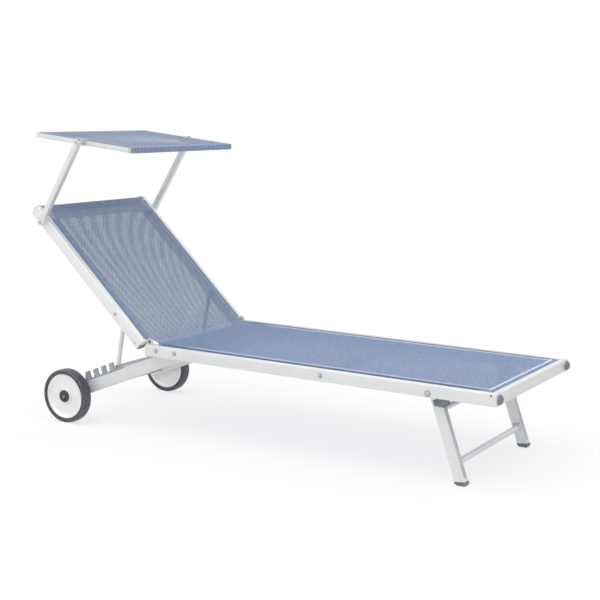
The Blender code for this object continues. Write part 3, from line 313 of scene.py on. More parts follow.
def hub_plastic(name):
    """The black hub cap, with painted highlights in its dimple and on its ring."""
    finish = Finish(name)
    fine = finish.noise(finish.place, EROSION)
    radius = from_axle(finish)
    cap_highlight = finish.highest(
        finish.span(radius, *CAP_HIGHLIGHT_MIDDLE, 1.0, 0.0), ring(finish, radius, CAP_HIGHLIGHT_RING, 0.0006, 0.0020, 0.35),
    )
    base = finish.mix(cap_highlight, (0.040, 0.042, 0.048), (0.24, 0.25, 0.25))
    return finish.surface(base, finish.vary(fine, 0.28, 0.38), fine, 0.0002, 0.3)


WEAVE_PITCH = 0.0030
HOLE = 0.285              # half of a hole, in pitches
HOLE_CLOSED = 0.11        # the same where the cloth is doubled or tight
HOLE_EDGE = 0.02          # over which a hole's side fades
RIB_PITCH = 0.0176        # of the ribs that show where the cloth is doubled
SLUBS = (6, 90, 1)        # per metre, along the cloth and across it: thick places in the yarns
UNEVEN = (150, 34, 1)     # the same: darker and lighter yarns
BACKREST_PAINTED_SHADE = -0.25      # painted shade: the backrest's cloth is made darker than the bed's
YARN = (0.264, 0.388, 0.636)
# a greyer, darker copy of the sling's yarn: the canopy's look under the light, painted into its colour
YARN_CANOPY = (0.243, 0.330, 0.510)
YARN_HEM = (0.308, 0.394, 0.590)
# painted highlight: the pale line on the ridge inside the bead, and the lighter cloth below the head hem
YARN_HIGHLIGHT = (0.86, 0.93, 0.98)
YARN_DARK = (0.181, 0.245, 0.409)
# painted shade in the groove along the bed's sides, and more faintly along its foot end
YARN_SHADED = (0.085, 0.125, 0.240)
# crest is a painted highlight, groove is painted shade, and slope marks the backrest, whose cloth gets
# painted shade
MARKS = ("hem", "crest", "groove", "slope")   # on each point of a cloth
HEM = 0.55                # the mark of a hem; a higher one is darker
RIPPLE = (   # of the backrest's bands: powers of along and over, and how many turns of each
    (0, 1, 35.4), (1, 1, 38.8), (0, 2, -5.7), (1, 0, -0.3), (2, 0, -9.9),
)
RIPPLE_FADE = (-0.55, -0.05)          # along the backrest: from the head's ripple to the hinge's
STREAKS = 54.0                        # per metre
GRAIN = (170.0, 12.0)                 # per metre, across the streaks and along the backrest


def weave(finish, along, over, closed, slope):
    """The yarns' height, and the holes between them."""
    ways = (along, over)
    rise = [finish.maths("PINGPONG", finish.maths("DIVIDE", way, WEAVE_PITCH), 0.5) for way in ways]
    gap = finish.span(closed, 0.0, 0.5, HOLE, HOLE_CLOSED)
    gap = finish.add(gap, finish.times(shimmer(finish, along, over), slope))
    sides = [finish.span(way, finish.less(gap, HOLE_EDGE), gap, 1.0, 0.0) for way in rise]
    turns = [finish.maths("SIGN", finish.wave(finish.times(way, 0.5 / WEAVE_PITCH))) for way in ways]
    return finish.add(finish.times(*turns, 0.25), *rise), finish.times(*sides)


def mesh_cloth(name, colour, ribs, uneven):
    """Coated mesh: flat yarns over and under each other, with open holes that close where it is doubled.

    ribs is how strongly the doubled cloth's ribs show, and uneven how much its yarns differ. It reads the
    piece's own map in metres, and the marks on it, which paint a highlight and shade into the yarn's colour.
    """
    finish = Finish(name, Specular_IOR_Level=0.4, Sheen_Weight=0.10, Sheen_Roughness=0.5)
    cloth = finish.node("UVMap", uv_map="cloth").outputs[0]
    along, over, _ = finish.parts(cloth)
    hem, crest, groove, slope = (finish.attribute(word) for word in MARKS)
    doubled = finish.span(hem, 0.0, 0.5)
    slope = finish.times(slope, finish.less(1.0, doubled))
    crown, hole = weave(finish, along, over, finish.highest(hem, crest, groove), slope)
    slub = finish.noise(finish.scaled(cloth, SLUBS), 1.0, 3.0, 0.6)
    yarns = finish.vary(finish.noise(finish.scaled(cloth, UNEVEN), 1.0, 1.0), -uneven, uneven)
    # shade: random slubs and yarns, painted shade on the backrest, and the doubled cloth's ribs
    shade = finish.add(
        finish.vary(slub, 0.94, 1.06), finish.vary(finish.noise(cloth, 7.0, 3.0), -0.03, 0.03),
        finish.times(yarns, finish.less(1.0, slope)), finish.times(slope, BACKREST_PAINTED_SHADE),
        finish.times(finish.wave(finish.times(over, 1 / RIB_PITCH)), ribs, doubled),
    )
    # the hems' own colours, then painted shade in the groove and a painted highlight on the crest
    darker = finish.span(hem, HEM, 1.0)
    marks = ((doubled, YARN_HEM), (darker, YARN_DARK), (groove, YARN_SHADED), (crest, YARN_HIGHLIGHT))
    for share, other in marks:
        colour = finish.mix(share, colour, other)
    base, rough = finish.dimmed(colour, shade), finish.vary(slub, 0.46, 0.60)
    return finish.surface(base, rough, crown, 0.0004, 0.5, Alpha=finish.less(1.0, hole))


def shimmer(finish, along, over):
    """How the holes open and close on the backrest: slanting bands, finer streaks and a grain."""
    head = finish.span(along, *RIPPLE_FADE, 1.0, 0.0)
    wander = finish.noise(finish.joined(along, over), 14.0)
    slant = finish.add(along, over)
    turns = [finish.times(*[along] * first, *[over] * second, count) for first, second, count in RIPPLE]
    bands = finish.wave(finish.add(*turns, finish.times(wander, 0.18)))
    streaks = finish.wave(finish.add(finish.times(slant, STREAKS), finish.times(wander, 1.6)))
    grain = finish.joined(finish.times(slant, GRAIN[0]), finish.times(along, GRAIN[1]))
    return finish.add(
        finish.times(bands, finish.span(head, 0.0, 1.0, 0.026, 0.032)),
        finish.times(streaks, finish.span(head, 0.0, 0.7, 0.008, 0.026)),
        finish.times(
            finish.vary(finish.noise(grain), -1.0, 1.0), finish.span(head, 0.0, 0.8, 0.006, 0.019)
        ),
    )


def thread(name):
    """Twisted polyester sewing thread."""
    finish = Finish(name, Sheen_Weight=0.2)
    twist = finish.noise(finish.place, 2600.0)
    base = finish.mix(twist, (0.075, 0.115, 0.22), (0.13, 0.185, 0.31))
    return finish.surface(base, 0.7, twist, 0.0002, 0.5)


# ---------------------------------------------------------------- mesh helpers

CAD_SMOOTH = 32.0         # degrees: a round of a CAD node turns by less from facet to facet
MERGE = 1e-6
SHADE_ARM_INNER = 0.3187
SHADE_ARM_DEEPER = 1.40
LEG_TUBES = {"leg_tube_upper": (1.15, -0.0150), "leg_tube_lower": (1.30, 0.0)}   # times as thick, shift up


def linked(name, data):
    """An object in the scene."""
    made = bpy.data.objects.new(name, data)
    bpy.context.scene.collection.objects.link(made)
    return made


def fade(value, start, end):
    """0 up to start, 1 from end on, and smooth between."""
    share = min(1.0, max(0.0, (value - start) / (end - start)))
    return share * share * (3 - 2 * share)


def shaded(data, angle):
    """Smooth faces, with the edges sharper than the angle kept."""
    data.shade_smooth()
    data.set_sharp_from_angle(angle=math.radians(angle))


def mesh_object(name, points, faces, finish, angle=30.0, recalculate=True):
    """A closed mesh with its normals outwards and its hard edges kept."""
    work = bmesh.new()
    corners = [work.verts.new(point) for point in points]
    for face in faces:
        work.faces.new([corners[i] for i in face])
    bmesh.ops.remove_doubles(work, verts=work.verts[:], dist=MERGE)
    if recalculate:
        bmesh.ops.recalc_face_normals(work, faces=work.faces[:])
    data = bpy.data.meshes.new(name)
    work.to_mesh(data)
    work.free()
    shaded(data, angle)
    data.materials.append(finish)
    return linked(name, data)


def lathed(name, profile, centre, axis, finish, segments=96, relief=None):
    """The profile of (along the axis, radius) turned about it. relief moves a point along the axis."""
    axis = Vector(axis).normalized()
    first = axis.orthogonal().normalized()
    second = axis.cross(first)
    points, faces = [], []
    for step in range(segments):
        angle = math.tau * step / segments
        out = first * math.cos(angle) + second * math.sin(angle)
        for along, radius in profile:
            if relief:
                along += relief(along, radius, angle)
            points.append(Vector(centre) + axis * along + out * radius)
    count = len(profile)
    on_axis = [radius < MERGE for _, radius in profile]
    for step in range(segments):
        here, there = step * count, (step + 1) % segments * count
        for i in range(count - 1 if on_axis[0] and on_axis[-1] else count):
            j = (i + 1) % count
            corners = [here + i, here + j, there + j, there + i]
            if on_axis[i]:
                corners = corners[:3]
            elif on_axis[j]:
                corners = [here + i, here + j, there + i]
            faces.append(corners)
    return mesh_object(name, points, faces, finish)


def trimmed(made, point, direction):
    """Cuts away what lies past the plane, and closes the cut."""
    work = bmesh.new()
    work.from_mesh(made.data)
    cut = bmesh.ops.bisect_plane(
        work, geom=work.verts[:] + work.edges[:] + work.faces[:], dist=MERGE,
        plane_co=point, plane_no=direction, clear_outer=True,
    )
    edges = [part for part in cut["geom_cut"] if isinstance(part, bmesh.types.BMEdge)]
    rim = [edge for edge in edges if edge.is_boundary]
    bmesh.ops.triangle_fill(work, use_beauty=True, edges=rim)
    bmesh.ops.recalc_face_normals(work, faces=work.faces[:])
    work.to_mesh(made.data)
    work.free()
    shaded(made.data, CAD_SMOOTH)


def dressed(node, finish, body, part="piece", slot=None, trim=()):
    """A merged copy of a CAD node, with its rounds smooth, which stands for it. trim lists cutting planes."""
    source = frame["nodes"][node].data
    points = [vertex.co for vertex in source.vertices]
    faces = [tuple(face.vertices) for face in source.polygons]
    made = mesh_object(f"{node}_{part}", points, faces, finish, CAD_SMOOTH, recalculate=False)
    for plane in trim:
        trimmed(made, *plane)
    slot = slot or source.materials[0].name.split(".")[0]
    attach(made, body)
    if part == "piece":
        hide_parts(node)
    return made


def deepened(made):
    """Makes the shade arm and what sits on it deeper, away from the backrest's rail."""
    for vertex in made.data.vertices:
        past = abs(vertex.co.y) - SHADE_ARM_INNER
        if past > 0:
            vertex.co.y = math.copysign(SHADE_ARM_INNER + past * SHADE_ARM_DEEPER, vertex.co.y)


def thickened(made, times, shift):
    """Thickens a tube that lies across the legs, and shifts it along them."""
    back = LEGS.inverted()
    places = [back @ vertex.co for vertex in made.data.vertices]
    middle = sum(places, Vector()) / len(places)
    for vertex, spot in zip(made.data.vertices, places):
        spot.x = middle.x + (spot.x - middle.x) * times
        spot.z = middle.z + (spot.z - middle.z) * times + shift
        vertex.co = LEGS @ spot


def block(name, place, low, high, finish, body, round_by, side=1):
    """A small block with rounded edges, between two corners of a frame. side -1 puts it on the right."""
    work = bmesh.new()
    long, wide, tall = (low[0], high[0]), sorted((side * low[1], side * high[1])), (low[2], high[2])
    corners = [work.verts.new((x, y, z)) for x in long for y in wide for z in tall]
    for face in ((0, 1, 3, 2), (4, 6, 7, 5), (0, 4, 5, 1), (2, 3, 7, 6), (0, 2, 6, 4), (1, 5, 7, 3)):
        work.faces.new([corners[i] for i in face])
    bmesh.ops.recalc_face_normals(work, faces=work.faces[:])
    bmesh.ops.bevel(work, geom=work.edges[:], offset=round_by, segments=2, profile=0.5, affect="EDGES")
    points = [place @ vertex.co for vertex in work.verts]
    work.verts.index_update()
    faces = [[vertex.index for vertex in face.verts] for face in work.faces]
    work.free()
    made = mesh_object(name, points, faces, finish, 50.0)
    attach(made, body)
    return made


# ---------------------------------------------------------------- Geometry Nodes

def applied(made):
    """The object with its modifiers worked into its mesh."""
    bpy.context.view_layer.update()
    data = bpy.data.meshes.new_from_object(made.evaluated_get(bpy.context.evaluated_depsgraph_get()))
    made.modifiers.clear()
    made.data = data
    data.name = made.name
    return made


class Pattern(Tree):
    """A Geometry Nodes tree. inputs are (kind of socket, default) by name."""

    def __init__(self, name, inputs):
        super().__init__(bpy.data.node_groups.new(name, "GeometryNodeTree"))
        sockets = self.tree.interface
        sockets.new_socket("Geometry", in_out="INPUT", socket_type="NodeSocketGeometry")
        self.keys = {}
        for word, (kind, value) in inputs.items():
            made = sockets.new_socket(word, in_out="INPUT", socket_type="NodeSocket" + kind)
            if value is not None:
                made.default_value = value
            self.keys[word] = made.identifier
        sockets.new_socket("Geometry", in_out="OUTPUT", socket_type="NodeSocketGeometry")
        self.source = self.tree.nodes.new("NodeGroupInput").outputs

    def field(self, name, kind="FLOAT_VECTOR"):
        return self.node("GeometryNodeInputNamedAttribute", {"Name": name}, data_type=kind).outputs[0]

    def close(self, geometry):
        """Realises the instances, sets the material and ends the tree."""
        real = self.node("GeometryNodeRealizeInstances", {0: geometry})
        painted = self.node(
            "GeometryNodeSetMaterial", {"Geometry": real.outputs[0], "Material": self.source["Material"]}
        )
        self.node("NodeGroupOutput", {0: painted.outputs[0]})

    def grown(self, name, points, edges, fields, values):
        """A plain mesh that the tree makes from points or lines, with named vectors or numbers on them."""
        guide = bpy.data.meshes.new(name + "_guide")
        guide.from_pydata(points, edges, [])
        for word, numbers in fields.items():
            flat = np.asarray(numbers, np.float32)
            kind = "FLOAT_VECTOR" if flat.ndim == 2 else "FLOAT"
            made = guide.attributes.new(word, kind, "POINT")
            made.data.foreach_set("vector" if flat.ndim == 2 else "value", flat.ravel())
        carrier = linked(name, guide)
        modifier = carrier.modifiers.new("pattern", "NODES")
        modifier.node_group = self.tree
        for word, value in values.items():
            modifier[self.keys[word]] = value
        return applied(carrier)


def head_pattern():
    """Sets a head on each point: the field axis points out of the piece, and the field size scales it."""
    pattern = Pattern("set_heads", {"Shape": ("Object", None), "Material": ("Material", None)})
    shape = pattern.node("GeometryNodeObjectInfo", {"Object": pattern.source["Shape"]})
    turn = pattern.node("FunctionNodeAlignRotationToVector", {"Vector": pattern.field("axis")}, axis="Z")
    points = pattern.node("GeometryNodeMeshToPoints", {0: pattern.source["Geometry"]})
    heads = pattern.node("GeometryNodeInstanceOnPoints", {
        "Points": points.outputs[0], "Instance": shape.outputs["Geometry"],
        "Rotation": turn.outputs[0], "Scale": pattern.field("size", "FLOAT"),
    })
    pattern.close(heads.outputs[0])
    return pattern


STITCH = {"Pitch": 0.0054, "Length": 0.0030, "Thickness": 0.0014}


def stitch_pattern():
    """Lays stitches along lines: every Pitch metres a small oval, flat on the cloth by the field up."""
    sizes = {word: ("Float", value) for word, value in STITCH.items()}
    pattern = Pattern("lay_stitches", {**sizes, "Material": ("Material", None)})
    pitch, length, thickness = (pattern.source[word] for word in STITCH)
    line = pattern.node("GeometryNodeMeshToCurve", {0: pattern.source["Geometry"]})
    spots = {"Curve": line.outputs[0], "Length": pitch}
    even = pattern.node("GeometryNodeCurveToPoints", spots, mode="LENGTH")
    first = pattern.node("FunctionNodeAlignRotationToVector", {"Vector": even.outputs["Tangent"]}, axis="X")
    turn = pattern.node("FunctionNodeAlignRotationToVector", {
        "Rotation": first.outputs[0], "Vector": pattern.field("up"),
    }, axis="Z", pivot_axis="X")
    ball = pattern.node("GeometryNodeMeshIcoSphere", {"Radius": 0.5, "Subdivisions": 1})
    size = pattern.node("ShaderNodeCombineXYZ", {0: length, 1: thickness, 2: thickness})
    stitches = pattern.node("GeometryNodeInstanceOnPoints", {
        "Points": even.outputs[0], "Instance": ball.outputs[0], "Rotation": turn.outputs[0],
        "Scale": size.outputs[0],
    })
    pattern.close(stitches.outputs[0])
    return pattern


# ---------------------------------------------------------------- sling

SLING_THICKNESS = 0.0004
HINGE_CURVE = 0.046       # half the length over which the sling turns at the hinge
CURVE_HANDLE = 0.643      # how full that turn is
NEAR_HINGE = 0.09         # the sling's mesh is finer up to here on each side of it
CUTOUT_MIDDLE = 0.008
CUTOUT_HALF = 0.038       # half the length of the cut-out beside each hinge
CUTOUT_DEPTH = 0.027
CUTOUT_REACH = 0.1        # the cloth further in keeps its place
SAG = 0.0045
SAG_OVER = (0.045, 0.305)         # the sag grows between these distances from a rail's outer face
HEM_WIDTH = 0.014         # of the side hems, inside the backrest's rails
HEAD_HEM = 0.030          # the head hem ends here, from the head rail's outer face
HEAD_HEM_TONE = 0.82      # it is darker than a plain hem
RAIL_HEM_TONE = 0.74      # and so is the cloth on the backrest's rails, up to here
RAIL_HEM = (0.041, 0.044)
HEAD_PAINTED_LIGHT = 0.20         # painted light: the cloth from the head hem to here is made a little lighter
HEAD_PAINTED_LIGHT_END = (0.066, 0.078)
ROLLED_EDGE = 0.034       # the cloth is closed from the groove to here
SOFT = 0.001              # a mark fades over this on each side of its edge
SIDE_CREST = 0.0450       # the painted highlight on the ridge inside the bead starts here, from the side rails' outer faces
END_CREST = 0.0362        # and here, from the foot rail's
SIDE_CREST_WIDTH = 0.020
END_CREST_WIDTH = 0.0108
SIDE_CREST_HIGHLIGHT = 0.42
SIDE_CREST_FADE = (0.10, 0.18)        # it starts this far from the hinge
SIDE_GROOVE_FADE = (0.035, 0.055)     # and so does the shaded line outside it
END_GROOVE_SHADE = 0.34
FOOT_FADE = (0.055, 0.075)            # that line ends this far from the foot rail's outer face
BACK_FADE = (-0.001, 0.007)           # the backrest's marks end here, from the hinge
SLOPE_FADE = (0.020, HEAD_HEM)        # and start here, from the head rail's outer face
HEAD_COVER = (0.036, RAIL_WIDTH)      # in from the side rail, the cloth climbs onto the head rail
FINE, COARSE, ACROSS = 0.004, 0.012, 0.0125     # steps of the sling's mesh
EDGE = (   # of the sling's section: (in from the rail's outer face, above the lip), from the groove inwards
    (0.0212, -0.0085), (0.0215, -0.0064), (0.0221, -0.0050), (0.0236, -0.0040), (0.0262, -0.0033),
    (0.0295, -0.0024), (0.0330, -0.0014), (0.0362, -0.0005), (0.0390, 0.0002), (0.0415, 0.0005),
    (0.0432, 0.0005), (0.0450, 0.0005), (0.0470, 0.0004), (0.0490, 0.0003), (0.0510, 0.0001),
    (0.0560, -0.0002), (0.0610, -0.0004), (0.0630, -0.0005), (0.0650, -0.0005), (0.0700, -0.0006),
    (0.0780, -0.0007), (0.0880, -0.0008), (0.1000, -0.0008),
)
FIELD = EDGE[-1][1]
HEAD_EDGE = (   # the same at the head, where the sling covers the rail and runs down behind it
    (-0.0006, -0.0320), (-0.0006, -0.0240), (-0.0006, -0.0160), (-0.0006, -0.0090), (-0.0006, -0.0045),
    (-0.0002, -0.0022), (0.0008, -0.0007), (0.0022, 0.0003), (0.0040, 0.0006), (0.0080, 0.0006),
    (0.0130, 0.0006), (0.0190, 0.0006), (0.0250, 0.0006), (0.0320, 0.0006), (0.0390, 0.0005),
    (0.0440, 0.0004), (0.0520, 0.0000), (0.0630, -0.0005), (0.0780, -0.0007), (0.1000, -0.0008),
)
WRAP_ROWS = 8             # of them, past the rail's top


def sag(distance):
    """How far the cloth hangs down, by the distance in from the nearest rail's outer face."""
    return SAG * fade(distance, *SAG_OVER)


def on_path(s, height):
    """World x and z of a point s along the sling from the hinge, positive toward the foot."""
    if s >= HINGE_CURVE:
        point = BED @ Vector((s, 0, height))
        return point.x, point.z
    if s <= -HINGE_CURVE:
        point = BACK @ Vector((s, 0, height - HINGE_RISE))
        return point.x, point.z
    handle = HINGE_CURVE * CURVE_HANDLE
    ends = [
        BED @ Vector((HINGE_CURVE, 0, 0)), BED @ Vector((HINGE_CURVE - handle, 0, 0)),
        BACK @ Vector((handle - HINGE_CURVE, 0, -HINGE_RISE)),
        BACK @ Vector((-HINGE_CURVE, 0, -HINGE_RISE)),
    ]
    t = (HINGE_CURVE - s) / (2 * HINGE_CURVE)
    a, b, c, d = ends
    point = a * (1 - t) ** 3 + b * 3 * t * (1 - t) ** 2 + c * 3 * t * t * (1 - t) + d * t ** 3
    way = ((b - a) * (1 - t) ** 2 + (c - b) * 2 * t * (1 - t) + (d - c) * t * t).normalized()
    return point.x + way.z * height, point.z - way.x * height


def spread(start, end, step):
    """Even stations from start to end, the ends left out."""
    count = max(1, round(abs(end - start) / step))
    return [start + (end - start) * i / count for i in range(1, count)]


def sling_stations():
    """s of each row, from the foot rail's groove to the head rail's."""
    foot = [BED_LENGTH - out for out, _ in EDGE]
    head = [out - BACK_REACH for out, _ in reversed(HEAD_EDGE)]
    near = spread(NEAR_HINGE + 1e-6, -NEAR_HINGE, FINE)
    return foot + spread(foot[-1], NEAR_HINGE, COARSE) + near + spread(-NEAR_HINGE, head[0], COARSE) + head


def sling_columns():
    """Distance in from the right rail's outer face of each column, across to the left one's."""
    near = [out for out, _ in EDGE]
    width = 2 * HALF_WIDTH
    return near + spread(near[-1], width - near[-1], ACROSS) + [width - out for out in reversed(near)]


def cut_in(s):
    """How far the sling's side edge stands in from the groove near the hinge."""
    past = (s - CUTOUT_MIDDLE) / CUTOUT_HALF
    return CUTOUT_DEPTH * math.cos(past * math.pi / 2) ** 1.2 if abs(past) < 1 else 0.0


def edge_profile(out, table=EDGE):
    """Height of the sling's section at a distance in from a rail's outer face."""
    return float(np.interp(out, [p[0] for p in table], [p[1] for p in table]))


def sling_point(row, column, stations, columns):
    """(s, y, height, distance in from the side rail, from the end rail) of a corner of the sling's mesh."""
    s, across = stations[row], columns[column]
    width = 2 * HALF_WIDTH
    out = min(across, width - across)
    end = BED_LENGTH - s if s > 0 else BACK_REACH + s
    inset = cut_in(s)
    if inset and out < CUTOUT_REACH:
        moved = out + inset * (CUTOUT_REACH - out) / (CUTOUT_REACH - EDGE[0][0])
        across += (moved - out) * (1 if across < HALF_WIDTH else -1)
        out = moved
    height = edge_profile(out)
    if s > 0:
        height = min(height, edge_profile(end))
        if out < RAIL_WIDTH and end < RAIL_WIDTH and out > SHELF_START[0]:
            shelf = np.interp(out, *zip(SHELF_START, SHELF_END))
            height = max(height, float(shelf) + SLING_THICKNESS)
    elif end < EDGE[-1][0]:
        from_head = len(stations) - 1 - row
        covered = HEAD_EDGE[from_head][1] if from_head < len(HEAD_EDGE) else FIELD
        share = fade(out, *HEAD_COVER) if end > 0.004 else 1.0
        height = min(height, covered) * (1 - share) + covered * share
    height -= sag(min(out, end))
    return s, across - HALF_WIDTH, height, out, end


def short_of(distance, edge):
    """1 short of an edge and 0 past it, fading as a mark on the cloth does."""
    return 1 - fade(distance, edge - SOFT, edge + SOFT)


def sling_marks(s, out, end):
    """The marks at a point of the sling."""
    back = 1 - fade(s, *BACK_FADE)
    hem = HEM * back * short_of(out, RAIL_WIDTH + HEM_WIDTH)
    rolled = max(HEM * short_of(out, ROLLED_EDGE), RAIL_HEM_TONE * back * (1 - fade(out, *RAIL_HEM)))
    # slope marks the backrest: its shimmer, and its painted shade
    slope = back * fade(end, *SLOPE_FADE)
    if s < 0:
        hem = max(hem, HEAD_HEM_TONE * short_of(end, HEAD_HEM))
        crest = HEAD_PAINTED_LIGHT * fade(end, HEAD_HEM, HEAD_HEM + 0.003) * (1 - fade(end, *HEAD_PAINTED_LIGHT_END))
    else:
        side, foot_end = out - SIDE_CREST, end - END_CREST
        within = fade(min(side, foot_end), 0.0, 2 * SOFT) * (1 - back)
        side_line = within * short_of(side, SIDE_CREST_WIDTH - SOFT)
        foot_line = within * short_of(foot_end, END_CREST_WIDTH - SOFT)
        crest = max(SIDE_CREST_HIGHLIGHT * side_line * fade(s, *SIDE_CREST_FADE), foot_line)
    # groove: painted shade outside the side highlight, and along the foot rail
    side_groove_shade = short_of(out, SIDE_CREST - SOFT) * fade(s, *SIDE_GROOVE_FADE)
    end_groove_shade = END_GROOVE_SHADE * short_of(end, END_CREST - SOFT)
    groove = (1 - back) * max(side_groove_shade * fade(end, *FOOT_FADE), end_groove_shade) if s > 0 else 0.0
    return max(hem, rolled), crest, groove, slope


def cloth_object(name, points, faces, maps, marks, thickness, finish):
    """A cloth: its middle surface thickened both ways, with its own map in metres and its marks."""
    data = bpy.data.meshes.new(name)
    data.from_pydata(points, [], faces)
    layer = data.uv_layers.new(name="cloth")
    for loop in data.loops:
        layer.data[loop.index].uv = maps[loop.vertex_index]
    for word, numbers in zip(MARKS, zip(*marks)):
        made = data.attributes.new(word, "FLOAT", "POINT")
        made.data.foreach_set("value", np.asarray(numbers, np.float32))
    data.shade_smooth()
    data.materials.append(finish)
    sheet = linked(name, data)
    wall = sheet.modifiers.new("thickness", "SOLIDIFY")
    wall.thickness = thickness
    wall.offset = 0
    return applied(sheet)


def make_sling(finish):
    """One sheet from the foot rail's groove over the bed, up the backrest and over the head rail."""
    stations, columns = sling_stations(), sling_columns()
    rows, width = len(stations), len(columns)
    edge_columns = sum(1 for out, _ in EDGE if out < RAIL_WIDTH)

    def kept(row, column):
        """The cloth behind the head rail runs between the side rails only."""
        return row < rows - 1 - WRAP_ROWS or edge_columns <= column < width - 1 - edge_columns

    faces = []
    for row in range(rows - 1):
        for column in range(width - 1):
            if kept(row, column):
                a = row * width + column
                faces.append((a, a + 1, a + width + 1, a + width))
    used = sorted({corner for face in faces for corner in face})
    place = {corner: i for i, corner in enumerate(used)}
    faces = [tuple(place[corner] for corner in face) for face in faces]
    points, maps, marks = [], [], []
    for corner in used:
        row, column = divmod(corner, width)
        s, y, height, out, end = sling_point(row, column, stations, columns)
        x, z = on_path(s, height)
        points.append((x, y, z))
        drop = max(0.0, -height) if row > rows - 1 - WRAP_ROWS else 0.0
        maps.append((s - drop, y))
        marks.append(sling_marks(s, out, end))
    sling = cloth_object("sling", points, faces, maps, marks, SLING_THICKNESS, finish)
    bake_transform(sling)
    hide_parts("bed_sling", "back_sling")
    return sling


# ---------------------------------------------------------------- canopy cloth

CLOTH_SAG = 0.004
CLOTH_LIFT = 0.0003       # between a tube and the cloth on it
SHEET_THICKNESS = 0.0010
WRAP_END = math.radians(258)      # the cloth ends here round the rear bar, from straight ahead
HEM_PROUD = 0.0014        # the front hem stands before the side tubes' ends
HEM_TURN = 0.0034         # the radius of its corners
HEM_UNDER = (0.0120, 0.0075)      # its lower edge ends this far back
HEM_DEEP = 0.018          # of the front and the rear hem
SIDE_HEM = 0.008          # inside each side tube
ON_TUBE = (0.004, 0.010)  # lines of the sheet's mesh on each side tube, in from its outer face
FULLNESS = (0.7, 0.6)     # of the sag, along the cloth and across it
CLIP_HALF = 0.0150        # half a clip's length


def arc(middle, radius, start, end, steps):
    """Points round a middle, from one angle to another, both included."""
    x, z = middle
    angles = [start + (end - start) * step / steps for step in range(steps + 1)]
    return [(x + radius * math.cos(angle), z + radius * math.sin(angle)) for angle in angles]


def canopy_section():
    """(x, z, map distance) along the cloth, from under the front, over the top, to under the rear bar.

    The front hem is as tall as the side tubes' ends.
    """
    half = CANOPY_TUBE / 2
    top = half + CLOTH_LIFT + CANOPY_CLOTH / 2
    face, lift = CANOPY_FRONT + HEM_PROUD, top - HEM_TURN
    wrap = CANOPY_BAR_RADIUS + CLOTH_LIFT + CANOPY_CLOTH
    middle = half + CLOTH_LIFT + CANOPY_CLOTH - wrap
    front, rear = face - HEM_TURN, CANOPY_FRONT - CANOPY_LENGTH + wrap
    points = [(face - under, -top) for under in HEM_UNDER]
    points += arc((front, -lift), HEM_TURN, -math.pi / 2, 0, 4)
    points += [(face, lift * (step / 2.5 - 1)) for step in range(1, 5)]
    points += arc((front, lift), HEM_TURN, 0, math.pi / 2, 4)
    points += [(x, top) for x in spread(front, rear, 0.0127)]
    points += arc((rear, middle), wrap - CANOPY_CLOTH / 2, math.pi / 2, WRAP_END, 12)
    lengths = [0.0]
    for (x0, z0), (x1, z1) in zip(points, points[1:]):
        lengths.append(lengths[-1] + math.hypot(x1 - x0, z1 - z0))
    return [(x, z, length) for (x, z), length in zip(points, lengths)], front, rear


def make_canopy_cloth(finish):
    """The cloth stretched over the side tubes and sewn round both bars."""
    section, front, rear = canopy_section()
    tube = CANOPY_HALF - CANOPY_TUBE_WIDTH - 0.0006
    outer = [CANOPY_HALF, *(CANOPY_HALF - inner for inner in ON_TUBE), tube]
    ranks = [-y for y in outer] + spread(-tube, tube, 0.02) + outer[::-1]
    points, maps, marks = [], [], []
    for x, z, length in section:
        along = (x - rear) / (front - rear)
        free = math.sin(math.pi * min(1.0, max(0.0, along))) ** FULLNESS[0]
        end_hem = max(short_of(x, rear + HEM_DEEP), 1 - short_of(x, front - HEM_DEEP))
        wrapped = x < rear or z < -CANOPY_TUBE / 2 and x < CANOPY_FRONT
        for y in ranks:
            shown = max(-tube, min(tube, y)) if wrapped else y
            low = CLOTH_SAG * free * math.cos(y / CANOPY_HALF * math.pi / 2) ** FULLNESS[1]
            low = low if abs(y) < tube else 0.0
            points.append(CANOPY @ Vector((x, shown, z - low)))
            maps.append((length, y))
            hem = max(end_hem, 1 - short_of(abs(y), tube - SIDE_HEM))
            marks.append((min(HEM, hem), 0.0, 0.0, 0.0))
    width = len(ranks)
    faces = []
    for row in range(len(section) - 1):
        for column in range(width - 1):
            a = row * width + column
            faces.append((a, a + width, a + width + 1, a + 1))
    cloth = cloth_object("canopy_sheet", points, faces, maps, marks, SHEET_THICKNESS, finish)
    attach(cloth, "canopy")
    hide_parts("canopy_cloth")
    return cloth


def make_canopy_fittings(light):
    """A moulded clip round each side tube at its pivot, and an end cap and a collar on it."""
    half = CANOPY_TUBE / 2
    inner, outer = CANOPY_HALF - CANOPY_TUBE_WIDTH, CANOPY_HALF
    rear = CANOPY_FRONT - CANOPY_LENGTH
    sizes = {
        "canopy_clip": (
            (-CLIP_HALF, inner - 0.0008, -half - 0.0010), (CLIP_HALF, outer + 0.0016, half + 0.0034),
        ),
        "canopy_cap": ((rear - 0.0016, inner, -half), (rear + 0.0002, outer, half)),
        "canopy_collar": (
            (CANOPY_FRONT - 0.0130, inner + 0.0020, -half - 0.0006),
            (CANOPY_FRONT + 0.0002, outer + 0.0007, half - 0.0002),
        ),
    }
    for word, side in SIDES.items():
        for name, (low, high) in sizes.items():
            block(f"{name}_{word}", CANOPY, low, high, light, "canopy", 0.0010, side)


# ---------------------------------------------------------------- wheels

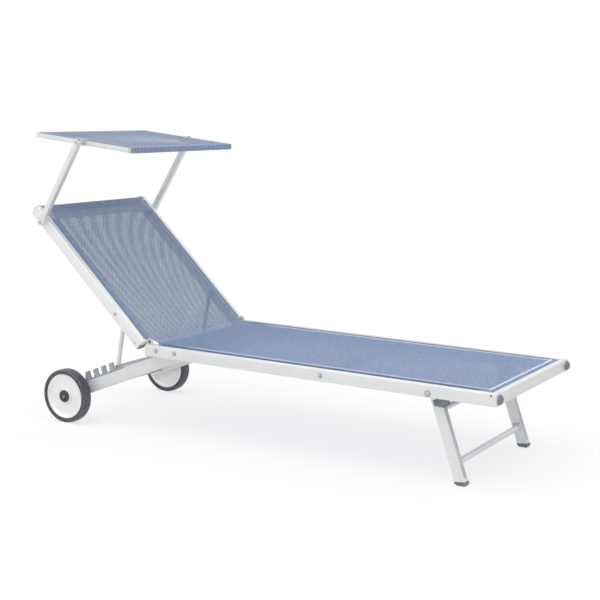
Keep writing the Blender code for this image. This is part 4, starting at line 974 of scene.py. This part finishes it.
def tyre_profile():
    """(out from the tyre's inner face, radius): side walls, shoulders and a tread with two lines."""
    bottom = DISC_RADIUS + 0.0003
    half = [
        (0.0016, bottom), (0.0004, bottom + 0.0010), (0.0, bottom + 0.0030), (0.0, 0.0945),
        (0.0004, 0.0963), (0.0013, 0.0978), (0.0028, 0.0988), (0.0050, 0.0994), (0.0072, 0.0996),
        (0.0078, 0.0992), (0.0084, 0.0992), (0.0090, 0.0997), (0.0140, 0.0999),
    ]
    far = [(WHEEL_WIDTH - along, radius) for along, radius in reversed(half)]
    return half + [(WHEEL_WIDTH / 2, WHEEL_RADIUS)] + far


DISC_RIBS = 5
RIB_HEIGHT = 0.0012


def disc_relief(along, radius, angle):
    """Shallow ribs on the disc's outer dish."""
    if along < WHEEL_WIDTH / 2:
        return 0.0
    rib = max(0.0, math.cos(angle * DISC_RIBS)) ** 6
    return RIB_HEIGHT * rib * fade(radius, 0.031, 0.037) * (1 - fade(radius, 0.060, 0.068))


def disc_profile():
    """The dished disc with its rim, hub and bore, from the bore's inner end round to its outer end."""
    wide = WHEEL_WIDTH
    return [
        (-0.0062, 0.0084), (-0.0064, 0.0182), (-0.0056, 0.0190), (0.0104, 0.0190), (0.0110, 0.0200),
        (0.0110, 0.0615), (0.0104, 0.0630), (0.0034, 0.0738), (0.0030, 0.0750), (0.0030, 0.0826),
        (0.0036, 0.0832), (wide - 0.0036, 0.0832), (wide - 0.0028, 0.0824), (wide - 0.0032, 0.0806),
        (wide - 0.0046, 0.0780), (0.0338, 0.0752), (0.0318, 0.0720), (0.0304, 0.0680), (0.0296, 0.0640),
        (0.0292, 0.0600), (0.0290, 0.0560), (0.0290, 0.0500), (0.0290, 0.0440), (0.0290, 0.0390),
        (0.0290, 0.0350), (0.0291, 0.0310), (0.0302, 0.0286), (0.0340, 0.0274), (0.0360, 0.0270),
        (HUB_FACE, 0.0260), (HUB_FACE, 0.0084),
    ]


def cap_profile():
    """The hub cap: a low skirt, a raised ring and a round dimple in its middle."""
    profile = (
        (0, 0), (0, 0.0226), (0.0006, 0.0232), (0.0020, 0.0231), (0.0034, 0.0216), (0.0039, 0.0196),
        (0.0031, 0.0168), (0.0034, 0.0140), (0.0056, 0.0120), (0.0070, 0.0104), (0.0072, 0.0084),
        (0.0058, 0.0068), (0.0044, 0.0052), (0.0041, 0),
    )
    return [(HUB_FACE + 0.0003 + along, radius) for along, radius in profile]


def make_wheels(rubber, white, dark):
    for word, side in SIDES.items():
        centre = AXLE + Vector((0, side * WHEEL_INNER, 0))
        outward = (0, side, 0)
        body = f"wheel_{word}"
        for name, profile, finish, slot, node, relief in (
            ("tyre", tyre_profile(), rubber, "tyre", "tyre", None),
            ("disc", disc_profile(), white, "white_plastic", "wheel_disc", disc_relief),
            ("cap", cap_profile(), dark, "dark_plastic", "hub_cap", None),
        ):
            piece = lathed(f"{name}_{word}_piece", profile, centre, outward, finish, 120, relief)
            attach(piece, body)
            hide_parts(f"{node}_{word}")


# ---------------------------------------------------------------- fasteners and stitches

def head_shape(name, profile):
    """A hidden shape whose own axis is Z, its seat at 0."""
    shape = lathed(name, profile, (0, 0, 0), (0, 0, 1), None, 24)
    shape.hide_render = True
    return shape


DOME = (
    (0.0006, 0), (0.0006, 0.0054), (0.0014, 0.0060), (0.0028, 0.0056), (0.0040, 0.0042),
    (0.0046, 0.0026), (0.0044, 0.0018), (0.0034, 0.0012), (0.0034, 0),
)
# a washer under each bolt head, made dark to paint the shadow round the head
SHADOW_WASHER = ((-0.0006, 0), (-0.0006, 0.0070), (0.0003, 0.0076), (0.0008, 0.0073), (0.0010, 0.0066), (0.0010, 0))
SCREW = (
    (-0.0006, 0), (-0.0006, 0.0030), (0.0004, 0.0034), (0.0012, 0.0030), (0.0017, 0.0018),
    (0.0013, 0.0012), (0.0007, 0.0008), (0.0007, 0),
)
BED_BOLTS = ((0.0455, -0.0163), (0.1254, -0.0176), (0.7121, -0.0200))   # along the bed, above the rails' top
CORNER_SCREW = (1.3030, -0.0065)
LEG_SHADOW_WASHER = (BED_LENGTH - 0.225, -0.0276, 1.32)   # the last is its size
RACK_SCREW = (0.2630, 0.2700, 0.0302)      # in the arm's frame, on the left
BACK_SCREWS = (-0.640, -0.030)     # along the backrest from the hinge
BACK_SCREW_DROP = 0.030            # below the rail's top


def make_fasteners(steel, dark):
    pattern = head_pattern()
    dome, screw = head_shape("dome_shape", DOME), head_shape("screw_shape", SCREW)
    shadow_washer = head_shape("washer_shape", SHADOW_WASHER)
    sets = {
        ("frame", "bolt_heads", dome, steel, "steel"): [],
        # dark washers under the bolt heads, which paint their shadow
        ("frame", "bolt_washers", shadow_washer, dark, "dark_plastic"): [],
        ("frame", "frame_screws", screw, dark, "dark_plastic"): [],
        ("backrest", "backrest_screws", screw, steel, "steel"): [],
    }
    bolts, shadow_washers, frame_screws, back_screws = sets.values()
    for side in SIDES.values():
        out = (0, side, 0)
        face = side * (HALF_WIDTH + 0.0001)
        for s, z in BED_BOLTS:
            bolts.append((BED @ Vector((s, face, z)), out, 1.0))
            shadow_washers.append((BED @ Vector((s, face, z)), out, 1.0))
        s, z, size = LEG_SHADOW_WASHER
        shadow_washers.append((BED @ Vector((s, face, z)), out, size))
        s, z = CORNER_SCREW
        frame_screws.append((BED @ Vector((s, face, z)), out, 1.0))
        along, wide, high = RACK_SCREW
        arm_up = ARM.to_3x3() @ Vector((0, 0, 1))
        frame_screws.append((ARM @ Vector((along, side * wide, high)), arm_up, 0.9))
        for s in BACK_SCREWS:
            back_screws.append((BACK @ Vector((s, face, -HINGE_RISE - BACK_SCREW_DROP)), out, 0.8))
    for (body, name, shape, finish, slot), heads in sets.items():
        points, axes, sizes = zip(*heads)
        fields = {"axis": axes, "size": sizes}
        made = pattern.grown(name, points, [], fields, {"Shape": shape, "Material": finish})
        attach(made, body)
    for shape in (dome, screw, shadow_washer):
        bpy.data.objects.remove(shape)


STITCH_LIFT = 0.0001      # of a stitch's middle above the cloth
STITCHES_END = -0.050     # of the rows on the backrest, from the hinge
BED_STITCHES = (RAIL_WIDTH + 0.0005, BED_LENGTH - 0.045, 0.030)   # in from the rail's outer face, from, to


def on_cloth(s, y, section, sunk):
    """The point of a stitch on the cloth's upper face, and the way up there."""
    height = section + SLING_THICKNESS / 2 + STITCH_LIFT - sunk
    x, z = on_path(s, height)
    x_up, z_up = on_path(s, height + 0.01)
    return (x, y, z), ((x_up - x) * 100, 0, (z_up - z) * 100)


def make_stitches(finish):
    """A row of stitches along each side of the bed, two along the backrest's, and one along the head hem."""
    pattern = stitch_pattern()
    inside, end = RAIL_WIDTH + HEM_WIDTH, HEAD_HEM - BACK_REACH
    rows = []
    for side in SIDES.values():
        for out, first, last in (
            (inside - 0.002, STITCHES_END, end), (inside - 0.006, STITCHES_END, end), BED_STITCHES,
        ):
            rows.append([
                on_cloth(s, side * (HALF_WIDTH - out), edge_profile(out), sag(out))
                for s in [first] + spread(first, last, 0.006) + [last]
            ])
    near, reach = HEAD_HEM - 0.003, HALF_WIDTH - inside
    rows.append([
        on_cloth(near - BACK_REACH, y, edge_profile(near, HEAD_EDGE), sag(min(near, HALF_WIDTH - abs(y))))
        for y in [-reach] + spread(-reach, reach, reach / 30) + [reach]
    ])
    points, edges, ups = [], [], []
    for row in rows:
        start = len(points)
        points += [point for point, _ in row]
        ups += [up for _, up in row]
        edges += [(start + i, start + i + 1) for i in range(len(row) - 1)]
    made = pattern.grown("sling_stitches", points, edges, {"up": ups}, {**STITCH, "Material": finish})
    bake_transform(made)


# ---------------------------------------------------------------- plugs, feet and legs

PLUG_DOME = (
    (0.0, 0), (0.0, 0.0156), (0.0010, 0.0163), (0.0026, 0.0162), (0.0056, 0.0150), (0.0084, 0.0128),
    (0.0106, 0.0096), (0.0119, 0.0052), (0.0123, 0),
)
# a thin dark ring under each head plug's dome: painted shadow in the gap between plate and dome
PLUG_SHADOW_GAP = ((-0.0002, 0), (-0.0002, 0.0172), (0.0002, 0.0176), (0.0009, 0.0174), (0.0009, 0))
PLATE = 0.0015
PLATE_GAP = 0.0003        # between a rail's end and its plate
PLATE_INSET = 0.0004      # from the rail's faces
# the dark block in the head end of the groove, which paints the shade there, lies between these
GROOVE_END_SHADE = (0.0345, 0.0218)    # in from the rail's outer face


def make_plugs(plate, foot_dome, head_dome, dark):
    """Each side rail's open end: a plate over the whole end, and a round dome on it."""
    half, near = RAIL_WIDTH / 2 - PLATE_INSET, PLATE_GAP
    for word, side in SIDES.items():
        for node, place, end, toward, top, body, dome_finish in (
            ("foot_plug", BED, BED_LENGTH, 1, 0.0, "frame", foot_dome),
            ("head_plug", BACK, -BACK_REACH, -1, -HINGE_RISE, "backrest", head_dome),
        ):
            middle = (side * (HALF_WIDTH - RAIL_WIDTH / 2), top - RAIL_WIDTH / 2)
            start, stop = sorted((end + toward * near, end + toward * (near + PLATE)))
            block(
                f"{node}_{word}_plate", place, (start, middle[0] - half, middle[1] - half),
                (stop, middle[0] + half, middle[1] + half), plate, body, 0.0007,
            )
            centre = place @ Vector((end + toward * (near + PLATE), *middle))
            way = place.to_3x3() @ Vector((toward, 0, 0))
            dome = lathed(f"{node}_{word}_piece", PLUG_DOME, centre, way, dome_finish, 48)
            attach(dome, body)
            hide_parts(f"{node}_{word}")
            if node == "head_plug":
                # the dark ring paints the shadow gap under the dome
                seat = lathed(f"head_ring_{word}", PLUG_SHADOW_GAP, centre, way, dark, 48)
                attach(seat, body)
                # a dark block in the groove's open end by the head plug, which paints the shade in it
                low, high = (HALF_WIDTH - inner for inner in GROOVE_END_SHADE)
                block(
                    f"groove_stop_{word}", place, (end + 0.0004, low, top - 0.0040),
                    (end + 0.0150, high, top + 0.0002), dark, body, 0.0008, side,
                )


LEG_Y = 0.2637
LEG_WIDTH = 0.035
LEG_THICKNESS = 0.0235


def make_leg_details(finish):
    """The insert along each leg's front face, and the bracket over each end of the lower tube."""
    front, inner = LEG_WIDTH / 2, LEG_Y - LEG_THICKNESS / 2
    details = (
        ("leg_insert", (front - 0.0003, LEG_Y - 0.0095, -0.2860),
         (front + 0.0006, LEG_Y + 0.0098, -0.0520), 0.0003),
        ("tube_bracket", (-0.0135, inner - 0.0030, -0.2262), (0.0135, inner + 0.0003, -0.2170), 0.0008),
    )
    for word, side in SIDES.items():
        for name, low, high, round_by in details:
            block(f"{name}_{word}", LEGS, low, high, finish, "front_legs", round_by, side)


# ---------------------------------------------------------------- nodes that keep their shape

FORK_DARK = 0.017         # the hinge fork is metal above this, from the rail's top, and dark below it
FOOT_CAP = (0.0992, 0.0125)       # a foot cap's top: ahead of the leg's pivot, above the floor
KNUCKLE_FRONT = 0.047     # a knuckle's ends, from the leg's pivot
KNUCKLE_REAR = -0.0105
UPRIGHT = math.pi / 2     # for a piece that runs along its body's Z axis
BY_NAME = (   # how a node's name starts, and its finish
    ("side_rail", "bed"), ("back_rail", "backrest"), ("foot_rail", "foot_rail"), ("head_rail", "cross"),
    ("crossbar", "cross"), ("wheel_arm", "arm"), ("leg_tube", "cross"), ("canopy_bar", "cross"),
    ("canopy_side", "canopy"), ("rack", "rack"), ("shade_arm", "shade_arm"), ("prop_leg", "prop"),
    ("prop_bar", "cross"), ("hinge_pin", "dark"),
)
BY_SLOT = {
    "aluminium": "leg", "rail": "leg", "hinge_metal": "hinge", "steel": "steel", "dark_plastic": "dark",
    "grey_plastic": "light", "white_plastic": "light", "tyre": "dark",
}
MADE_ANEW = (
    "bed_sling", "back_sling", "canopy_cloth", "tyre", "wheel_disc", "hub_cap", "foot_plug", "head_plug",
)


def node_finishes():
    """The finishes of the nodes that keep their shape, by short name."""
    profiles = (   # word, pitch of the drawing lines, tone, whether they run across; a tone other than 1 paints light or shade on that piece
        ("bed", BED_PITCH), ("backrest", BACK_PITCH, 1.08), ("cross", 0.0, 1.0, True),
        ("foot_rail", 0.0, 0.94, True), ("arm", ARM_PITCH, 0.96), ("leg", LEG_PITCH + UPRIGHT),
        ("prop", PROP_PITCH + UPRIGHT, 0.97), ("shade_arm", SHADE_PITCH + UPRIGHT, 1.04),
        ("canopy", CANOPY_PITCH),
    )
    plastics = (   # word, name, colour, roughness
        ("dark", "dark_grey_plastic", (0.20, 0.225, 0.28), 0.42),
        ("rack", "rack_plastic", (0.44, 0.465, 0.51), 0.34),
        ("grey", "mid_grey_plastic", (0.24, 0.245, 0.27), 0.40),
        ("light", "light_grey_plastic", (0.66, 0.66, 0.67), 0.38),
        ("insert", "insert_plastic", (0.67, 0.68, 0.71), 0.45),
    )
    made = {word: aluminium(f"{word}_aluminium", *how) for word, *how in profiles}
    made |= {word: moulded(*how) for word, *how in plastics}
    return made | {"hinge": aluminium("hinge_metal", BED_PITCH, 0.9), "steel": bright_steel("plated_steel")}


def fork_cuts():
    """The plane across the hinge forks, as it cuts the metal away and as it cuts the dark insert away."""
    point, up = BACK @ Vector((0, 0, -HINGE_RISE - FORK_DARK)), BACK.to_3x3() @ Vector((0, 0, 1))
    return [(point, up)], [(point, -up)]


def node_trims():
    """The planes that cut some nodes, by the start of the node's name."""
    along_bed = BED.to_3x3() @ Vector((1, 0, 0))
    cap_ahead, cap_top = FOOT_CAP
    return (
        ("foot_cap", [((LEGS.translation.x + cap_ahead, 0, cap_top), (-0.11, 0, 1))]),
        ("knuckle", [
            (LEGS.translation + along_bed * KNUCKLE_FRONT, along_bed),
            (LEGS @ Vector((KNUCKLE_REAR, 0, 0)), LEGS.to_3x3() @ Vector((-1, 0, 0))),
        ]),
        ("hinge_fork", fork_cuts()[0]),
    )


def chosen(node, choices, other=()):
    """The choice whose word the node's name starts with."""
    return next((value for start, value in choices if node.startswith(start)), other)


def dress_nodes(finishes):
    """Gives every node that keeps its shape its finish."""
    trims = node_trims()
    for body, nodes in frame["record"]["behaviour"]["bodies"].items():
        for node in nodes:
            if node.startswith(MADE_ANEW):
                continue
            slot = frame["nodes"][node].data.materials[0].name.split(".")[0]
            finish = finishes[chosen(node, BY_NAME, BY_SLOT[slot])]
            made = dressed(node, finish, body, trim=chosen(node, trims))
            if node.startswith(("shade_arm", "shade_bolt", "canopy_pin")):
                deepened(made)
            if node in LEG_TUBES:
                thickened(made, *LEG_TUBES[node])
            if node.startswith("hinge_fork"):
                dressed(node, finishes["hinge"], body, "top", "hinge_metal", fork_cuts()[1])


# ---------------------------------------------------------------- floor, light and camera

WORLD_LIGHT = 0.57
LAMPS = (   # name, strength, where it stands, and how wide it shines in degrees
    ("overhead", 1.05, (-0.15, -0.52, 1.0), 70),
    ("rim", 0.25, (0.05, 0.75, 0.60), 60),
)
FLOOR_HALF = 60.0
FLOOR_GREY = 0.985        # of its clouds
FLOOR_BOUNCE = (0.80, 0.80, 0.80)
FLOOR_GLOW = 1.09
FLOOR_LIGHT = 0.62        # share of the floor that is plain white, so that the shadow on it stays pale
CAMERA = (2.2673, -3.6774, 1.1430)
LENS = 73.8
AZIMUTH, ELEVATION, ROLL = math.radians(31.193), math.radians(8.689), math.radians(0.147)


def make_floor():
    """A white floor that keeps the shadow."""
    finish = Finish("studio_floor", Roughness=0.9, Specular_IOR_Level=0.0)
    seen = finish.seen()
    plain = finish.mix(finish.noise(finish.place, 0.6), toned(WHITE, FLOOR_GREY), WHITE)
    finish.shade(Base_Color=finish.mix(seen, FLOOR_BOUNCE, plain))
    glow = finish.node("Emission", {"Color": WHITE, "Strength": FLOOR_GLOW})
    share = finish.times(seen, FLOOR_LIGHT)
    blend = finish.node("MixShader", {0: share, 1: finish.shader.outputs[0], 2: glow.outputs[0]})
    finish.set(finish.tree.nodes["Material Output"].inputs["Surface"], blend.outputs[0])
    data = bpy.data.meshes.new("studio_floor")
    corners = [(x * FLOOR_HALF, y * FLOOR_HALF, 0) for x, y in ((-1, -1), (1, -1), (1, 1), (-1, 1))]
    data.from_pydata(corners, [], [(0, 1, 2, 3)])
    data.materials.append(finish.material)
    linked("studio_floor", data)


def make_surround():
    """White to look at, and weaker as a light."""
    world = bpy.data.worlds.new("studio")
    bpy.context.scene.world = world
    world.use_nodes = True
    world.node_tree.nodes.clear()
    sky = Shading(world.node_tree)
    strength = sky.span(sky.seen(), 0.0, 1.0, WORLD_LIGHT, 1.0)
    background = sky.node("Background", {"Color": WHITE, "Strength": strength})
    sky.node("OutputWorld", {"Surface": background.outputs[0]})


def make_lamp(name, strength, direction, spread_degrees):
    lamp = bpy.data.lights.new(name, "SUN")
    lamp.energy = strength
    lamp.angle = math.radians(spread_degrees)
    linked(name, lamp).rotation_euler = Vector(direction).to_track_quat("Z", "Y").to_euler()


def make_camera():
    camera = bpy.data.cameras.new("camera")
    camera.lens, camera.sensor_width = LENS, 36.0
    level = math.cos(ELEVATION)
    back = Vector((math.sin(AZIMUTH) * level, -math.cos(AZIMUTH) * level, math.sin(ELEVATION)))
    right = Vector((math.cos(AZIMUTH), math.sin(AZIMUTH), 0))
    up = back.cross(right)
    side = right * math.cos(ROLL) + up * math.sin(ROLL)
    top = up * math.cos(ROLL) - right * math.sin(ROLL)
    made = linked("camera", camera)
    made.matrix_world = Matrix.Translation(CAMERA) @ Matrix((side, top, back)).transposed().to_4x4()
    bpy.context.scene.camera = made


def main():
    bpy.context.scene.view_settings.view_transform = "Standard"
    make_camera()
    make_floor()
    make_surround()
    for lamp in LAMPS:
        make_lamp(*lamp)
    finishes = node_finishes()
    dress_nodes(finishes)
    make_plugs(finishes["bed"], finishes["grey"], finishes["light"], finishes["dark"])
    make_leg_details(finishes["insert"])
    make_canopy_fittings(finishes["light"])
    make_sling(mesh_cloth("blue_mesh", YARN, 0.04, 0.15))
    make_canopy_cloth(mesh_cloth("canopy_mesh", YARN_CANOPY, 0.15, 0.03))
    make_wheels(tyre_rubber("tyre_rubber"), disc_white("disc_white"), hub_plastic("hub_plastic"))
    make_fasteners(finishes["steel"], finishes["dark"])
    make_stitches(thread("sewing_thread"))


main()
